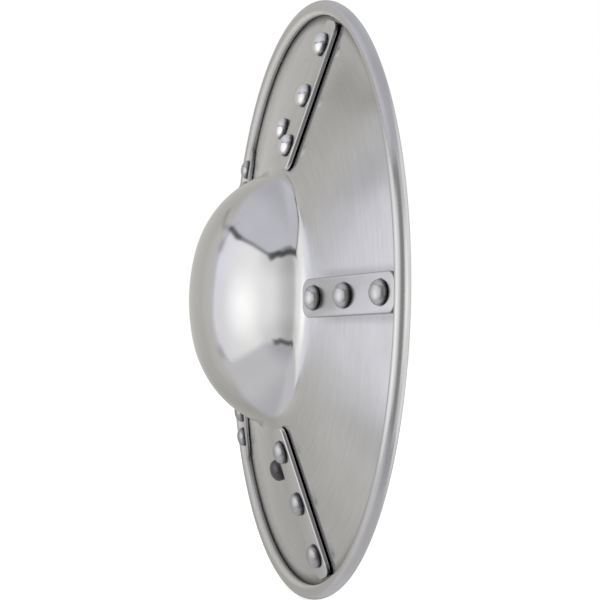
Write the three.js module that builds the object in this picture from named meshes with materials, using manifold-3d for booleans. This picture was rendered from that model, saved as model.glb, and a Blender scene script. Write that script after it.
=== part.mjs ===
// A steel buckler: a small round shield pressed from one sheet, with a domed boss over the fist, an edge rolled
// forward round a wire, five riveted straps on its face, and a wood-scaled grip bar across the hollow behind.
// Lengths are millimetres. The finished part stands upright as it is carried: +Z is up, the boss points to -Y,
// and the origin is in the middle of the hand grip.
// Each piece is first laid out face up: z runs forward from the plane that the back of the rim rests on, r runs
// out from the shield's axis, and the grip lies along y. The last lines turn that layout upright.
import * as THREE from "three";
import { mergeVertices } from "three/addons/utils/BufferGeometryUtils.js";
import Module from "manifold-3d";

const deg = THREE.MathUtils.degToRad;

// Driving dimensions of the sheet and its rolled edge
const shieldDiameter = 305;
const shieldDepth = 61.7;
const sheetThickness = 1.5;
const dishAngle = deg(14.5);
const bossCrownRadius = 104.6;
const bossCrownAngle = deg(15.9);
const bossShoulderRadius = 53.9;
const bossFilletRadius = 10.5;
const rimWireDiameter = 4;
const rimWireClearance = 0.25;
const rimRollEdgeGap = 0.5;
const rimFlatWidth = 1.2;

// Driving dimensions of the straps
const strapWidth = 18;
const strapThickness = 1.9;
const strapEdgeBevel = 0.35;
const strapCornerRadius = 5;
const strapBossGap = 0.2;
const strapRimGap = 2.6;
const strapRivetInset = 11;

// Driving dimensions of the rivets
const rivetHeadDiameter = 12;
const rivetHeadHeight = 4.3;
const rivetShankDiameter = 5;
const rivetTailDiameter = 8.6;
const rivetTailHeight = 1.6;

// Driving dimensions of the grip
const gripOffset = 4.5;
const gripBarWidth = 24;
const gripBarThickness = 3;
const gripBendRadius = 12;
const gripBendSetback = 9;
const gripRivetSetback = 17.5;
const gripFootMargin = 11;
const gripFootCornerRadius = 8;
const gripEndClearance = 12;
const frontScaleDepth = 8;
const rearScaleDepth = 12;
const gripEndRounding = 8;
const gripPinDiameter = 5;
const gripPinDome = 0.4;
const gripPinInset = 18;

// Clearances: between faces that seat on each other, and round what passes through a hole
const seatGap = 0.25;
const holeClearance = 0.3;
const cutOverrun = 2;

// The grip's taper: the depth of a scale near its ends and the size of its rounded tips, as shares of its
// middle, and how square its section is (2 is an ellipse).
const scaleEndDepthShare = 0.82;
const scaleTipShare = 0.5;
const scaleFullness = 2.5;

// How each strap was set by hand: its turn round the shield from the right-hand side, and its skew about its
// own middle. An even fifth of a circle is 72 degrees.
const strapSettings = [
  { name: "strap_right", turn: deg(-0.3), skew: deg(1.7) },
  { name: "strap_top", turn: deg(69.6), skew: deg(2.3) },
  { name: "strap_left_upper", turn: deg(143.1), skew: deg(-0.1) },
  { name: "strap_left_lower", turn: deg(216.3), skew: deg(1.9) },
  { name: "strap_bottom", turn: deg(289.1), skew: deg(0.5) },
];

// Facet counts
const turnSegments = 60;
const wireSegments = 8;
const rivetSegments = 12;
const crownSteps = 3;
const shoulderSteps = 6;
const filletSteps = 4;
const rollBackSteps = 3;
const rollFrontSteps = 6;
const headDomeSteps = 4;
const tailDomeSteps = 2;
const cornerSteps = 3;
const bendSteps = 3;
const scaleStations = 12;
const scaleSectionSteps = 8;

// Finishes
const polishedSteel = new THREE.MeshStandardMaterial({ color: 0xb9b9b8, roughness: 0.28, metalness: 1 });
const strapSteel = new THREE.MeshStandardMaterial({ color: 0xb4b5b2, roughness: 0.34, metalness: 1 });
const rivetSteel = new THREE.MeshStandardMaterial({ color: 0x8d8d90, roughness: 0.3, metalness: 1 });
const wireSteel = new THREE.MeshStandardMaterial({ color: 0x77777a, roughness: 0.5, metalness: 1 });
const barSteel = new THREE.MeshStandardMaterial({ color: 0x8a8a88, roughness: 0.45, metalness: 1 });
const gripWood = new THREE.MeshStandardMaterial({ color: 0x6b4226, roughness: 0.6, metalness: 0 });

const wasm = await Module();
wasm.setup();

// Turns a closed geometry into a solid that can be cut.
function solidOf(geometry) {
  const bare = geometry.index ? geometry.toNonIndexed() : geometry.clone();
  bare.deleteAttribute("normal");
  bare.deleteAttribute("uv");
  const merged = mergeVertices(bare);
  return new wasm.Manifold(
    new wasm.Mesh({
      numProp: 3,
      vertProperties: new Float32Array(merged.attributes.position.array),
      triVerts: new Uint32Array(merged.index.array),
    }),
  );
}

// Turns a cut solid back into a geometry.
function geometryOf(solid) {
  const mesh = solid.getMesh();
  return new THREE.BufferGeometry()
    .setAttribute("position", new THREE.BufferAttribute(new Float32Array(mesh.vertProperties), 3))
    .setIndex(new THREE.BufferAttribute(new Uint32Array(mesh.triVerts), 1));
}

// A named mesh.
function piece(name, geometry, material) {
  const mesh = new THREE.Mesh(geometry, material);
  mesh.name = name;
  return mesh;
}

// Evenly spaced values from one to another, both included.
function spread(from, to, steps) {
  return Array.from({ length: steps + 1 }, (_, i) => THREE.MathUtils.lerp(from, to, i / steps));
}

// Points on a circle at the given angles.
function arc(centre, radius, angles) {
  return angles.map(
    (a) => new THREE.Vector2(centre.x + radius * Math.cos(a), centre.y + radius * Math.sin(a)),
  );
}

// A dome's outline from its middle to its edge, standing on a flat at z. A negative height hangs below it.
function domeOutline(radius, z, height, steps) {
  const outline = spread(Math.PI / 2, 0, steps).map(
    (a) => new THREE.Vector2(radius * Math.cos(a), z + height * Math.sin(a)),
  );
  outline[0].x = 0;
  return outline;
}

// A profile of r against z, given from the top down, turned about z.
function revolve(profile, segments) {
  return new THREE.LatheGeometry([...profile].reverse(), segments).rotateX(Math.PI / 2);
}

// A flat shape raised along z.
function raise(outline, height) {
  return new THREE.ExtrudeGeometry(new THREE.Shape(outline), { depth: height, bevelEnabled: false });
}

// The outline of a flat bar along x, with round corners.
function barOutline(length, width, cornerRadius) {
  const quarter = Math.PI / 2;
  const x = length / 2 - cornerRadius;
  const y = width / 2 - cornerRadius;
  const corners = [new THREE.Vector2(x, y), new THREE.Vector2(-x, y)];
  corners.push(new THREE.Vector2(-x, -y), new THREE.Vector2(x, -y));
  return corners.flatMap((corner, i) =>
    arc(corner, cornerRadius, spread(i * quarter, (i + 1) * quarter, cornerSteps)),
  );
}

// The section of a bent sheet, as its face and then its back. Each bend has a centre, the angles that it turns
// through, and the radius of the sheet's face and of its back there. It runs straight between bends.
function sheetSection(bends) {
  const face = bends.flatMap((bend) => arc(bend.centre, bend.faceRadius, bend.angles));
  const back = bends.flatMap((bend) => arc(bend.centre, bend.backRadius, bend.angles));
  return { face, back };
}

// The rolled edge's centre is set so that the worn flat on its back lies at z = 0.
const rollBore = rimWireDiameter / 2 + rimWireClearance;
const rollRadius = rollBore + sheetThickness;
const rollFlatAngle = Math.asin(rimFlatWidth / 2 / rollRadius);
const rollCentre = new THREE.Vector2(shieldDiameter / 2 - rollRadius, rollRadius * Math.cos(rollFlatAngle));

// Unit directions in the r and z plane: down the dish's slope, and square out of its face
const downSlope = new THREE.Vector2(Math.cos(dishAngle), -Math.sin(dishAngle));
const outOfFace = new THREE.Vector2(Math.sin(dishAngle), Math.cos(dishAngle));

// The point at a radius from the shield's axis that is a height above the dish's face, or below it.
function onDish(radius, height) {
  const point = rollCentre.clone().addScaledVector(outOfFace, height - rollBore);
  return point.addScaledVector(downSlope, (radius - point.x) / downSlope.x);
}

// The boss's section: a crown, a rounder shoulder tangent to it, and a fillet tangent to the shoulder and dish.
function bossArcs() {
  const crown = new THREE.Vector2(0, shieldDepth - bossCrownRadius);
  const join = new THREE.Vector2(Math.sin(bossCrownAngle), Math.cos(bossCrownAngle));
  const shoulder = crown.clone().addScaledVector(join, bossCrownRadius - bossShoulderRadius);
  const reach = bossShoulderRadius + bossFilletRadius;
  const onAxis = onDish(0, bossFilletRadius);
  const toAxis = onAxis.clone().sub(shoulder);
  const along = toAxis.dot(downSlope);
  const slide = Math.sqrt(along * along - toAxis.lengthSq() + reach * reach) - along;
  const fillet = onAxis.addScaledVector(downSlope, slide);
  const wallAngle = fillet.clone().sub(shoulder).angle();
  return { crown, shoulder, fillet, wallAngle };
}

const boss = bossArcs();
const bossFootRadius = boss.fillet.x - bossFilletRadius * outOfFace.x;

// One sheet from the boss's crown to the free edge of the roll, which stops just short of the dish so that the
// wire's tunnel stays open all the way round.
function shieldShellGeometry() {
  const up = Math.PI / 2;
  const rollStart = -up - dishAngle;
  const rollFlat = [-up - rollFlatAngle, -up + rollFlatAngle];
  const rollEnd = rollStart + 2 * Math.PI - Math.acos((rollBore - rimRollEdgeGap) / rollRadius);
  const crownBend = {
    centre: boss.crown,
    faceRadius: bossCrownRadius,
    backRadius: bossCrownRadius - sheetThickness,
    angles: spread(up, up - bossCrownAngle, crownSteps),
  };
  const shoulderBend = {
    centre: boss.shoulder,
    faceRadius: bossShoulderRadius,
    backRadius: bossShoulderRadius - sheetThickness,
    angles: spread(up - bossCrownAngle, boss.wallAngle, shoulderSteps).slice(1),
  };
  const filletBend = {
    centre: boss.fillet,
    faceRadius: bossFilletRadius,
    backRadius: bossFilletRadius + sheetThickness,
    angles: spread(boss.wallAngle - Math.PI, rollStart, filletSteps).slice(1),
  };
  const rollBend = {
    centre: rollCentre,
    faceRadius: rollBore,
    backRadius: rollRadius,
    angles: [
      rollStart,
      rollFlat[0],
      ...spread(rollFlat[1], 0, rollBackSteps),
      ...spread(0, rollEnd, rollFrontSteps).slice(1),
    ],
  };
  const { face, back } = sheetSection([crownBend, shoulderBend, filletBend, rollBend]);
  face[0].x = 0;
  back[0].x = 0;
  return revolve([...face, ...back.reverse()], turnSegments);
}

// The wire that stiffens the rolled edge.
function rimWireGeometry() {
  return revolve(arc(rollCentre, rimWireDiameter / 2, spread(2 * Math.PI, 0, wireSegments)), turnSegments);
}

// A round-headed rivet. Its head stands on z = 0 and its peened tail holds a stack of plates below.
function rivetGeometry(stack) {
  const shank = [0, -stack].map((z) => new THREE.Vector2(rivetShankDiameter / 2, z));
  return revolve(
    [
      ...domeOutline(rivetHeadDiameter / 2, 0, rivetHeadHeight, headDomeSteps),
      ...shank,
      ...domeOutline(rivetTailDiameter / 2, -stack, -rivetTailHeight, tailDomeSteps).reverse(),
    ],
    rivetSegments,
  );
}

// A cutter for a fastener's hole, from below its seat to above it.
function holeCutter(diameter, bottom, top) {
  const outline = arc(
    new THREE.Vector2(),
    diameter / 2 + holeClearance,
    spread(0, 2 * Math.PI, rivetSegments).slice(1),
  );
  return raise(outline, top - bottom + 2 * cutOverrun).translate(0, 0, bottom - cutOverrun);
}

// Cuts a piece's holes where its fasteners stand.
function drill(mesh, fasteners, cutter) {
  const intoMesh = mesh.matrixWorld.clone().invert();
  const cutters = fasteners.map((fastener) =>
    solidOf(cutter.clone().applyMatrix4(intoMesh.clone().multiply(fastener.matrixWorld))),
  );
  mesh.geometry = geometryOf(cutters.reduce((solid, hole) => solid.subtract(hole), solidOf(mesh.geometry)));
}

// A seat on the dish at a turn round the axis: x runs down the slope and z stands square out of the face.
function dishSeat(radius, height, turn) {
  const foot = onDish(radius, height);
  const seat = new THREE.Group();
  seat.position.set(foot.x * Math.cos(turn), foot.x * Math.sin(turn), foot.y);
  seat.rotation.set(0, dishAngle, turn, "ZYX");
  return seat;
}

// Straps: flat bars that lie down the dish from the boss's foot nearly to the rolled edge
const strapInnerRadius = bossFootRadius + strapBossGap;
const strapOuterRadius = shieldDiameter / 2 - 2 * rollRadius - strapRimGap;
const strapLength = (strapOuterRadius - strapInnerRadius) / downSlope.x;
const strapStack = sheetThickness + strapThickness + 3 * seatGap;

// A strap along x with dressed edges and its underside at z = 0.
function strapGeometry() {
  const shape = new THREE.Shape(barOutline(strapLength, strapWidth, strapCornerRadius));
  return new THREE.ExtrudeGeometry(shape, {
    depth: strapThickness - 2 * strapEdgeBevel,
    bevelThickness: strapEdgeBevel,
    bevelSize: strapEdgeBevel,
    bevelOffset: -strapEdgeBevel,
    bevelSegments: 1,
  }).translate(0, 0, strapEdgeBevel);
}

// A strap and its three rivets, on their seat.
function strapAssembly({ name, turn, skew }) {
  const seat = dishSeat((strapInnerRadius + strapOuterRadius) / 2, seatGap, turn);
  const strap = piece(name, strapGeometry(), strapSteel);
  const reach = strapLength / 2 - strapRivetInset;
  const rivets = ["inner", "middle", "outer"].map((place, i) => {
    const rivet = piece(`${name}_rivet_${place}`, rivetGeometry(strapStack), rivetSteel);
    rivet.position.set((i - 1) * reach, 0, strapThickness + seatGap);
    return rivet;
  });
  strap.add(...rivets);
  strap.rotation.z = skew;
  seat.add(strap);
  return { seat, strap, rivets };
}

// Grip: a flat bar across the hollow, bent at both ends to lie against the back of the dish. The bar's outer
// edge is where the hollow dish comes closest, so the bar is set back by that edge's distance from the axis.
const gripBendPlace = bossFootRadius + gripBendSetback;
const gripRivetPlace = bossFootRadius + gripRivetSetback;
const gripFootEnd = gripRivetPlace + gripFootMargin;
const gripEdgeReach = Math.hypot(gripBendPlace, gripOffset + gripBarWidth / 2);
const gripBarFace = onDish(gripEdgeReach, -sheetThickness - seatGap).y;
const gripBarBack = gripBarFace - gripBarThickness;
const gripFootDrop = (onDish(gripBendPlace, 0).y - gripBarFace) * downSlope.x;
const gripStack = gripFootDrop + gripBarThickness + 2 * seatGap;
const gripLength = 2 * (bossFootRadius - gripEndClearance);
const gripFront = gripBarFace + seatGap + frontScaleDepth;
const gripRear = gripBarBack - seatGap - rearScaleDepth;
const gripMiddle = (gripFront + gripRear) / 2;

// The bar along y: a side view with both bends, raised across the bar and trimmed to a plan with round corners.
function gripBarGeometry() {
  const up = Math.PI / 2;
  const foot = new THREE.Vector2(gripBendPlace, gripBarFace);
  const footLength = (gripFootEnd + cutOverrun - gripBendPlace) / downSlope.x;
  const bend = {
    centre: new THREE.Vector2(
      gripBendPlace - gripBendRadius * Math.tan(dishAngle / 2),
      gripBarFace - gripBendRadius,
    ),
    faceRadius: gripBendRadius,
    backRadius: gripBendRadius - gripBarThickness,
    angles: spread(up, up - dishAngle, bendSteps),
  };
  const tip = {
    centre: foot.addScaledVector(downSlope, footLength),
    faceRadius: 0,
    backRadius: -gripBarThickness,
    angles: [up - dishAngle],
  };
  const { face, back } = sheetSection([bend, tip]);
  const mirrored = (points) => points.map((p) => new THREE.Vector2(-p.x, p.y)).reverse();
  const sideView = [...mirrored(face), ...face, ...back.reverse(), ...mirrored(back)];
  const strip = raise(sideView, gripBarWidth + 2 * cutOverrun)
    .translate(0, 0, -gripBarWidth / 2 - cutOverrun)
    .rotateX(Math.PI / 2)
    .rotateZ(Math.PI / 2);
  const plan = raise(barOutline(2 * gripFootEnd, gripBarWidth, gripFootCornerRadius), shieldDepth)
    .rotateZ(Math.PI / 2)
    .translate(0, 0, gripBarFace - shieldDepth / 2);
  return geometryOf(solidOf(strip).intersect(solidOf(plan)));
}

// The share of its middle size that a scale has at a place along the grip: the tips' rounding, and the swell.
function scaleTipAt(y) {
  const intoTip = Math.max(0, Math.abs(y) + gripEndRounding - gripLength / 2) / gripEndRounding;
  return THREE.MathUtils.lerp(scaleTipShare, 1, Math.sqrt(Math.max(0, 1 - intoTip * intoTip)));
}

function scaleSwellAt(y) {
  return THREE.MathUtils.lerp(scaleEndDepthShare, 1, Math.cos((Math.PI * y) / gripLength));
}

// A wood scale along y, flat at z = 0 and as wide as the bar that it covers. A unit block is drawn out to size
// at stations that lie closer together towards its ends.
function gripScaleGeometry(depth) {
  const power = 2 / scaleFullness;
  const section = spread(0, Math.PI, scaleSectionSteps).map(
    (a) => new THREE.Vector2(Math.sign(Math.cos(a)) * Math.abs(Math.cos(a)) ** power, Math.sin(a) ** power),
  );
  const blank = new THREE.ExtrudeGeometry(new THREE.Shape(section), {
    depth: 1,
    steps: scaleStations,
    bevelEnabled: false,
  });
  const points = blank.attributes.position;
  for (let i = 0; i < points.count; i += 1) {
    const y = (gripLength / 2) * Math.sin(Math.PI * (points.getZ(i) - 1 / 2));
    const tip = scaleTipAt(y);
    points.setX(i, points.getX(i) * tip * (gripBarWidth / 2));
    points.setY(i, points.getY(i) * tip * scaleSwellAt(y) * depth);
    points.setZ(i, y);
  }
  return blank.rotateX(Math.PI / 2);
}

// A pin through both scales and the bar, domed a little proud of the wood at each end.
function gripPinGeometry(y) {
  const top = gripBarFace + seatGap + frontScaleDepth * scaleSwellAt(y);
  const bottom = gripBarBack - seatGap - rearScaleDepth * scaleSwellAt(y);
  return revolve(
    [
      ...domeOutline(gripPinDiameter / 2, top, gripPinDome, tailDomeSteps),
      ...domeOutline(gripPinDiameter / 2, bottom, -gripPinDome, tailDomeSteps).reverse(),
    ],
    rivetSegments,
  );
}

// The grip's pieces, each in its place.
function gripAssembly() {
  const bar = piece("grip_bar", gripBarGeometry(), barSteel);
  const front = piece("grip_scale_front", gripScaleGeometry(frontScaleDepth), gripWood);
  const rear = piece("grip_scale_rear", gripScaleGeometry(rearScaleDepth), gripWood);
  front.position.z = gripBarFace + seatGap;
  rear.position.z = gripBarBack - seatGap;
  rear.rotation.y = Math.PI;
  const pinReach = gripLength / 2 - gripPinInset;
  const pins = ["lower", "middle", "upper"].map((place, i) => {
    const y = (i - 1) * pinReach;
    const pin = piece(`grip_pin_${place}`, gripPinGeometry(y), rivetSteel);
    pin.position.y = y;
    return pin;
  });
  const grip = new THREE.Group();
  grip.position.x = gripOffset;
  grip.add(bar, front, rear, ...pins);
  return { grip, bar, front, rear, pins };
}

// A rivet that holds one end of the grip bar through the dish, seated on the dish's face.
function gripRivetSeat(place, side) {
  const radius = Math.hypot(gripRivetPlace, gripOffset);
  const seat = dishSeat(radius, seatGap, Math.atan2(side * gripRivetPlace, gripOffset));
  const rivet = piece(`grip_rivet_${place}`, rivetGeometry(gripStack), rivetSteel);
  seat.add(rivet);
  return { seat, rivet };
}

// The layout, face up
const layout = new THREE.Group();
const shell = piece("shield_shell", shieldShellGeometry(), polishedSteel);
const straps = strapSettings.map(strapAssembly);
const { grip, bar, front, rear, pins } = gripAssembly();
const gripEnds = [gripRivetSeat("upper", 1), gripRivetSeat("lower", -1)];
layout.add(shell, piece("rim_wire", rimWireGeometry(), wireSteel), grip);
layout.add(...straps.map((strap) => strap.seat), ...gripEnds.map((end) => end.seat));
layout.updateMatrixWorld(true);

// Holes
const gripRivets = gripEnds.map((end) => end.rivet);
const strapHole = holeCutter(rivetShankDiameter, -strapStack, 0);
const gripRivetHole = holeCutter(rivetShankDiameter, -gripStack, 0);
const gripPinHole = holeCutter(gripPinDiameter, gripRear, gripFront);
drill(shell, straps.flatMap((strap) => strap.rivets), strapHole);
drill(shell, gripRivets, gripRivetHole);
drill(bar, gripRivets, gripRivetHole);
for (const { strap, rivets } of straps) {
  drill(strap, rivets, strapHole);
}
for (const mesh of [bar, front, rear]) {
  drill(mesh, pins, gripPinHole);
}

// Turned upright, with the middle of the grip at the origin
layout.rotation.x = Math.PI / 2;
layout.position.set(-gripOffset, gripMiddle, 0);
const buckler = new THREE.Group();
buckler.add(layout);

export default buckler;
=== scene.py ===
"""A round steel buckler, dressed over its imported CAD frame.

Lengths are in metres. The shield is laid out face up, with x and y in the plane that its rim rests on and z
forward, out of its face. STANDING turns that layout to how the shield is carried: its boss points to -Y, +Z is up
and the middle of its hand grip is on the origin.
"""

import logging
import math
import random
from collections.abc import Callable, Iterator, Sequence
from contextlib import contextmanager
from dataclasses import dataclass, field
from enum import Enum
from functools import partial, reduce

import bmesh
import bpy
from mathutils import Matrix, Vector


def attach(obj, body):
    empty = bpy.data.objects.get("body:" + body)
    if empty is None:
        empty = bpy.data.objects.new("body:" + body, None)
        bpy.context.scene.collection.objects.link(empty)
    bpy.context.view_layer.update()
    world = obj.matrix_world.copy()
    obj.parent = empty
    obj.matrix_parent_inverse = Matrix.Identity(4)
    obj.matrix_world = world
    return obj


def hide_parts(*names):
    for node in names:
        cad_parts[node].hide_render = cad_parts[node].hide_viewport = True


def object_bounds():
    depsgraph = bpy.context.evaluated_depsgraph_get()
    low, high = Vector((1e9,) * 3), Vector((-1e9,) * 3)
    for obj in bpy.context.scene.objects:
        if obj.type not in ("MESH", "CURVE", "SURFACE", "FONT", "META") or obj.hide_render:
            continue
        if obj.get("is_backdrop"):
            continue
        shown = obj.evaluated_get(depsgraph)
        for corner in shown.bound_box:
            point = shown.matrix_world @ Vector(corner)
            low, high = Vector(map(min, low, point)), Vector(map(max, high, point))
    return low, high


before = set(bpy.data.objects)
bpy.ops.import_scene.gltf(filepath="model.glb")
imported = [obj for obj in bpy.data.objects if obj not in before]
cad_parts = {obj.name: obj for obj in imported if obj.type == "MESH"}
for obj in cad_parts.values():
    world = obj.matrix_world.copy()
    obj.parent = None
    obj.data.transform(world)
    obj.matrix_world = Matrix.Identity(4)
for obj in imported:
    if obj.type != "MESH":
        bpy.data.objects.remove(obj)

MM = 0.001
TOUCHING = MM / 1000
UP = math.pi / 2
SEED = 7
PLACE = "bench_place"
PATINA = "patina"
COPY_SHIFT = 0.31
log = logging.getLogger("buckler")

Piece = bpy.types.Object
Material = bpy.types.Material
Node = bpy.types.Node
NodeTree = bpy.types.NodeTree
Socket = bpy.types.NodeSocket


# Modelling


def pick(piece: Piece) -> None:
    """Make a piece the active one, and the only one that is selected.

    Args:
        piece: The piece.
    """
    bpy.ops.object.select_all(action="DESELECT")
    piece.select_set(True)
    bpy.context.view_layer.objects.active = piece


def start_piece(name: str, primitive: Callable[..., set[str]], **sizes: object) -> Piece:
    """Add a primitive at its size and place.

    Args:
        name: The piece's name.
        primitive: One of Blender's add operators.
        **sizes: What the operator is given.

    Returns:
        The new piece, whose object sits at the origin.
    """
    bpy.ops.object.select_all(action="DESELECT")
    primitive(**sizes)
    piece = bpy.context.active_object
    piece.name = piece.data.name = name
    bpy.ops.object.transform_apply(location=True, rotation=True, scale=True)
    return piece


@contextmanager
def editing(piece: Piece) -> Iterator[None]:
    """Keep a piece in edit mode for a while.

    Args:
        piece: The piece to edit.

    Yields:
        Nothing.
    """
    pick(piece)
    bpy.ops.object.mode_set(mode="EDIT")
    try:
        yield
    finally:
        bpy.ops.object.mode_set(mode="OBJECT")


def select_edges(piece: Piece, wanted: Callable[[Vector, Vector], bool]) -> None:
    """Select the edges whose two ends pass a test. The piece is in edit mode.

    Args:
        piece: The piece that is edited.
        wanted: The test of an edge's two ends.
    """
    bpy.ops.mesh.select_mode(type="EDGE")
    bpy.ops.mesh.select_all(action="DESELECT")
    mesh = bmesh.from_edit_mesh(piece.data)
    for edge in mesh.edges:
        if wanted(edge.verts[0].co, edge.verts[1].co):
            edge.select_set(True)
    bmesh.update_edit_mesh(piece.data)


def fill_line() -> None:
    """Fill the closed line that is edited with a face."""
    bpy.ops.mesh.select_all(action="SELECT")
    bpy.ops.mesh.edge_face_add()


def face_outwards() -> None:
    """Point every face of the piece that is edited outwards."""
    bpy.ops.mesh.select_all(action="SELECT")
    bpy.ops.mesh.normals_make_consistent(inside=False)


def draw_line(name: str, points: Sequence[Vector]) -> Piece:
    """Start a piece as a line: a small plane is drawn together to one vertex, which is extruded along the points.

    Args:
        name: The piece's name.
        points: The line's points, from its first to its last.

    Returns:
        The piece.
    """
    piece = start_piece(name, bpy.ops.mesh.primitive_plane_add, size=MM, location=points[0])
    with editing(piece):
        bpy.ops.mesh.select_mode(type="VERT")
        bpy.ops.mesh.merge(type="CENTER")
        for here, there in zip(points, points[1:]):
            bpy.ops.mesh.extrude_vertices_move(TRANSFORM_OT_translate={"value": there - here})
    return piece


def spin_round(piece: Piece, steps: int, angle: float = 2 * math.pi) -> None:
    """Turn a line or a face round the z axis, and close what it makes.

    Args:
        piece: A piece that holds only the line or the face.
        steps: How many steps the turn takes.
        angle: How far it turns, in radians.
    """
    with editing(piece):
        bpy.ops.mesh.select_all(action="SELECT")
        bpy.ops.mesh.spin(steps=steps, angle=angle, center=(0, 0, 0), axis=(0, 0, 1))
        bpy.ops.mesh.select_all(action="SELECT")
        bpy.ops.mesh.remove_doubles(threshold=TOUCHING)
        face_outwards()


def turn_piece(name: str, outline: list[Vector], steps: int) -> Piece:
    """Turn a piece from its outline.

    Args:
        name: The piece's name.
        outline: Points from the z axis round to it again, whose first and last are set right on it.
        steps: How many steps the turn takes.

    Returns:
        The piece.
    """
    outline[0].x = outline[-1].x = 0
    piece = draw_line(name, outline)
    spin_round(piece, steps)
    return piece


def smooth(piece: Piece, angle: float = 35) -> None:
    """Shade a piece smooth, but for edges that turn more than an angle, in degrees."""
    pick(piece)
    bpy.ops.object.shade_smooth_by_angle(angle=math.radians(angle))


def copy_piece(pattern: Piece, name: str) -> Piece:
    """Copy a piece with its own mesh.

    Args:
        pattern: The piece to copy.
        name: The copy's name.

    Returns:
        The copy.
    """
    pick(pattern)
    bpy.ops.object.duplicate(linked=False)
    copy = bpy.context.active_object
    copy.name = copy.data.name = name
    return copy


def discard(pattern: Piece) -> None:
    """Remove a pattern once its copies are made.

    Args:
        pattern: The pattern.
    """
    mesh = pattern.data
    bpy.data.objects.remove(pattern)
    bpy.data.meshes.remove(mesh)


def put(piece: Piece, place: Matrix) -> None:
    """Move a piece to its place and put that place in its mesh.

    Args:
        piece: The piece, whose object sits at the origin.
        place: Where it goes.
    """
    pick(piece)
    piece.matrix_world = place
    bpy.ops.object.transform_apply(location=True, rotation=True, scale=True)


def mark_places(piece: Piece, copy: int = 0) -> None:
    """Keep where each vertex lies on the bench, for a finish that follows the piece.

    Args:
        piece: A piece that hasn't been put in its place.
        copy: The number of a copy, which shifts the finish so that copies differ.
    """
    places = piece.data.attributes.get(PLACE) or piece.data.attributes.new(PLACE, "FLOAT_VECTOR", "POINT")
    for vertex, place in zip(piece.data.vertices, places.data):
        place.vector = vertex.co + Vector((0, 0, COPY_SHIFT * copy))


def mark_value(piece: Piece, name: str, value: float) -> None:
    """Keep one number on a whole piece, for its finish to read.

    Args:
        piece: The piece.
        name: The attribute's name.
        value: The number.
    """
    marks = piece.data.attributes.new(name, "FLOAT", "POINT")
    for mark in marks.data:
        mark.value = value


def ways(start: float, end: float, steps: int) -> list[Vector]:
    """Find the unit vectors of an arc in the plane of r and z, which is drawn as x and z.

    Args:
        start: The first angle from +r towards +z, in radians.
        end: The last angle.
        steps: How many steps lie between them.

    Returns:
        The vectors, first and last included.
    """
    angles = [start + (end - start) * step / steps for step in range(steps + 1)]
    return [Vector((math.cos(a), 0, math.sin(a))) for a in angles]


# Sizes


@dataclass(frozen=True)
class SheetSizes:
    """The pressed sheet, its boss and its rolled edge."""

    diameter: float = 305 * MM
    depth: float = 61.7 * MM
    thickness: float = 1.15 * MM
    dish_angle: float = math.radians(14.1)
    crown_radius: float = 104.6 * MM
    crown_angle: float = math.radians(15.9)
    shoulder_radius: float = 53.9 * MM
    fillet_radius: float = 11 * MM
    foot_blend: float = 3 * MM
    wire_diameter: float = 4.7 * MM
    wire_clearance: float = 0.1 * MM
    roll_edge_gap: float = 0.3 * MM
    rim_flat_width: float = 1.2 * MM

    @property
    def roll_bore(self) -> float:
        """The radius of the tunnel that the wire lies in."""
        return self.wire_diameter / 2 + self.wire_clearance

    @property
    def roll_radius(self) -> float:
        """The rolled edge's outer radius."""
        return self.roll_bore + self.thickness

    @property
    def roll_centre(self) -> Vector:
        """The rolled edge's centre, set so that the worn flat on its back lies at z = 0."""
        rise = math.sqrt(self.roll_radius**2 - (self.rim_flat_width / 2) ** 2)
        return Vector((self.diameter / 2 - self.roll_radius, 0, rise))

    @property
    def roll_turn(self) -> tuple[float, float]:
        """Find where the roll runs.

        Returns:
            The angles at which it starts, tangent to the dish, and at which its free edge ends it.
        """
        start = -UP - self.dish_angle
        seam = math.acos((self.roll_bore - self.roll_edge_gap) / self.roll_radius)
        return start, start + 2 * math.pi - seam

    @property
    def down_slope(self) -> Vector:
        """The way down the dish."""
        return Vector((math.cos(self.dish_angle), 0, -math.sin(self.dish_angle)))

    @property
    def out_of_face(self) -> Vector:
        """The way square out of the dish."""
        return Vector((math.sin(self.dish_angle), 0, math.cos(self.dish_angle)))

    def on_dish(self, radius: float, height: float = 0.0) -> Vector:
        """Find a point over the dish.

        Args:
            radius: Its distance from the shield's axis.
            height: How far it lies out of the dish's face.

        Returns:
            The point, as r, 0 and z.
        """
        point = self.roll_centre + (height - self.roll_bore) * self.out_of_face
        return point + (radius - point.x) / self.down_slope.x * self.down_slope

    @property
    def crown_centre(self) -> Vector:
        """The centre of the arc over the top of the boss."""
        return Vector((0, 0, self.depth - self.crown_radius))

    @property
    def shoulder_centre(self) -> Vector:
        """The centre of the rounder arc beside the crown, tangent to it."""
        join = Vector((math.sin(self.crown_angle), 0, math.cos(self.crown_angle)))
        return self.crown_centre + (self.crown_radius - self.shoulder_radius) * join

    @property
    def fillet_centre(self) -> Vector:
        """Find the centre of the hollow arc at the foot of the boss, tangent to the shoulder and the dish.

        Returns:
            The centre, as r, 0 and z.
        """
        start = self.on_dish(0, self.fillet_radius)
        reach = self.shoulder_radius + self.fillet_radius
        towards = start - self.shoulder_centre
        along = towards.dot(self.down_slope)
        return start + (math.sqrt(along**2 - towards.length_squared + reach**2) - along) * self.down_slope

    @property
    def foot_radius(self) -> float:
        """The distance from the axis at which the boss ends and the dish starts."""
        return self.fillet_centre.x - self.fillet_radius * self.out_of_face.x


SHEET = SheetSizes()


@dataclass(frozen=True)
class SheetPoint:
    """A point on the sheet's face, in the plane of r and z, with the way out of the face there."""

    place: Vector
    out: Vector

    @property
    def back(self) -> Vector:
        """The point behind it, on the sheet's back."""
        return self.place - SHEET.thickness * self.out


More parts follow.
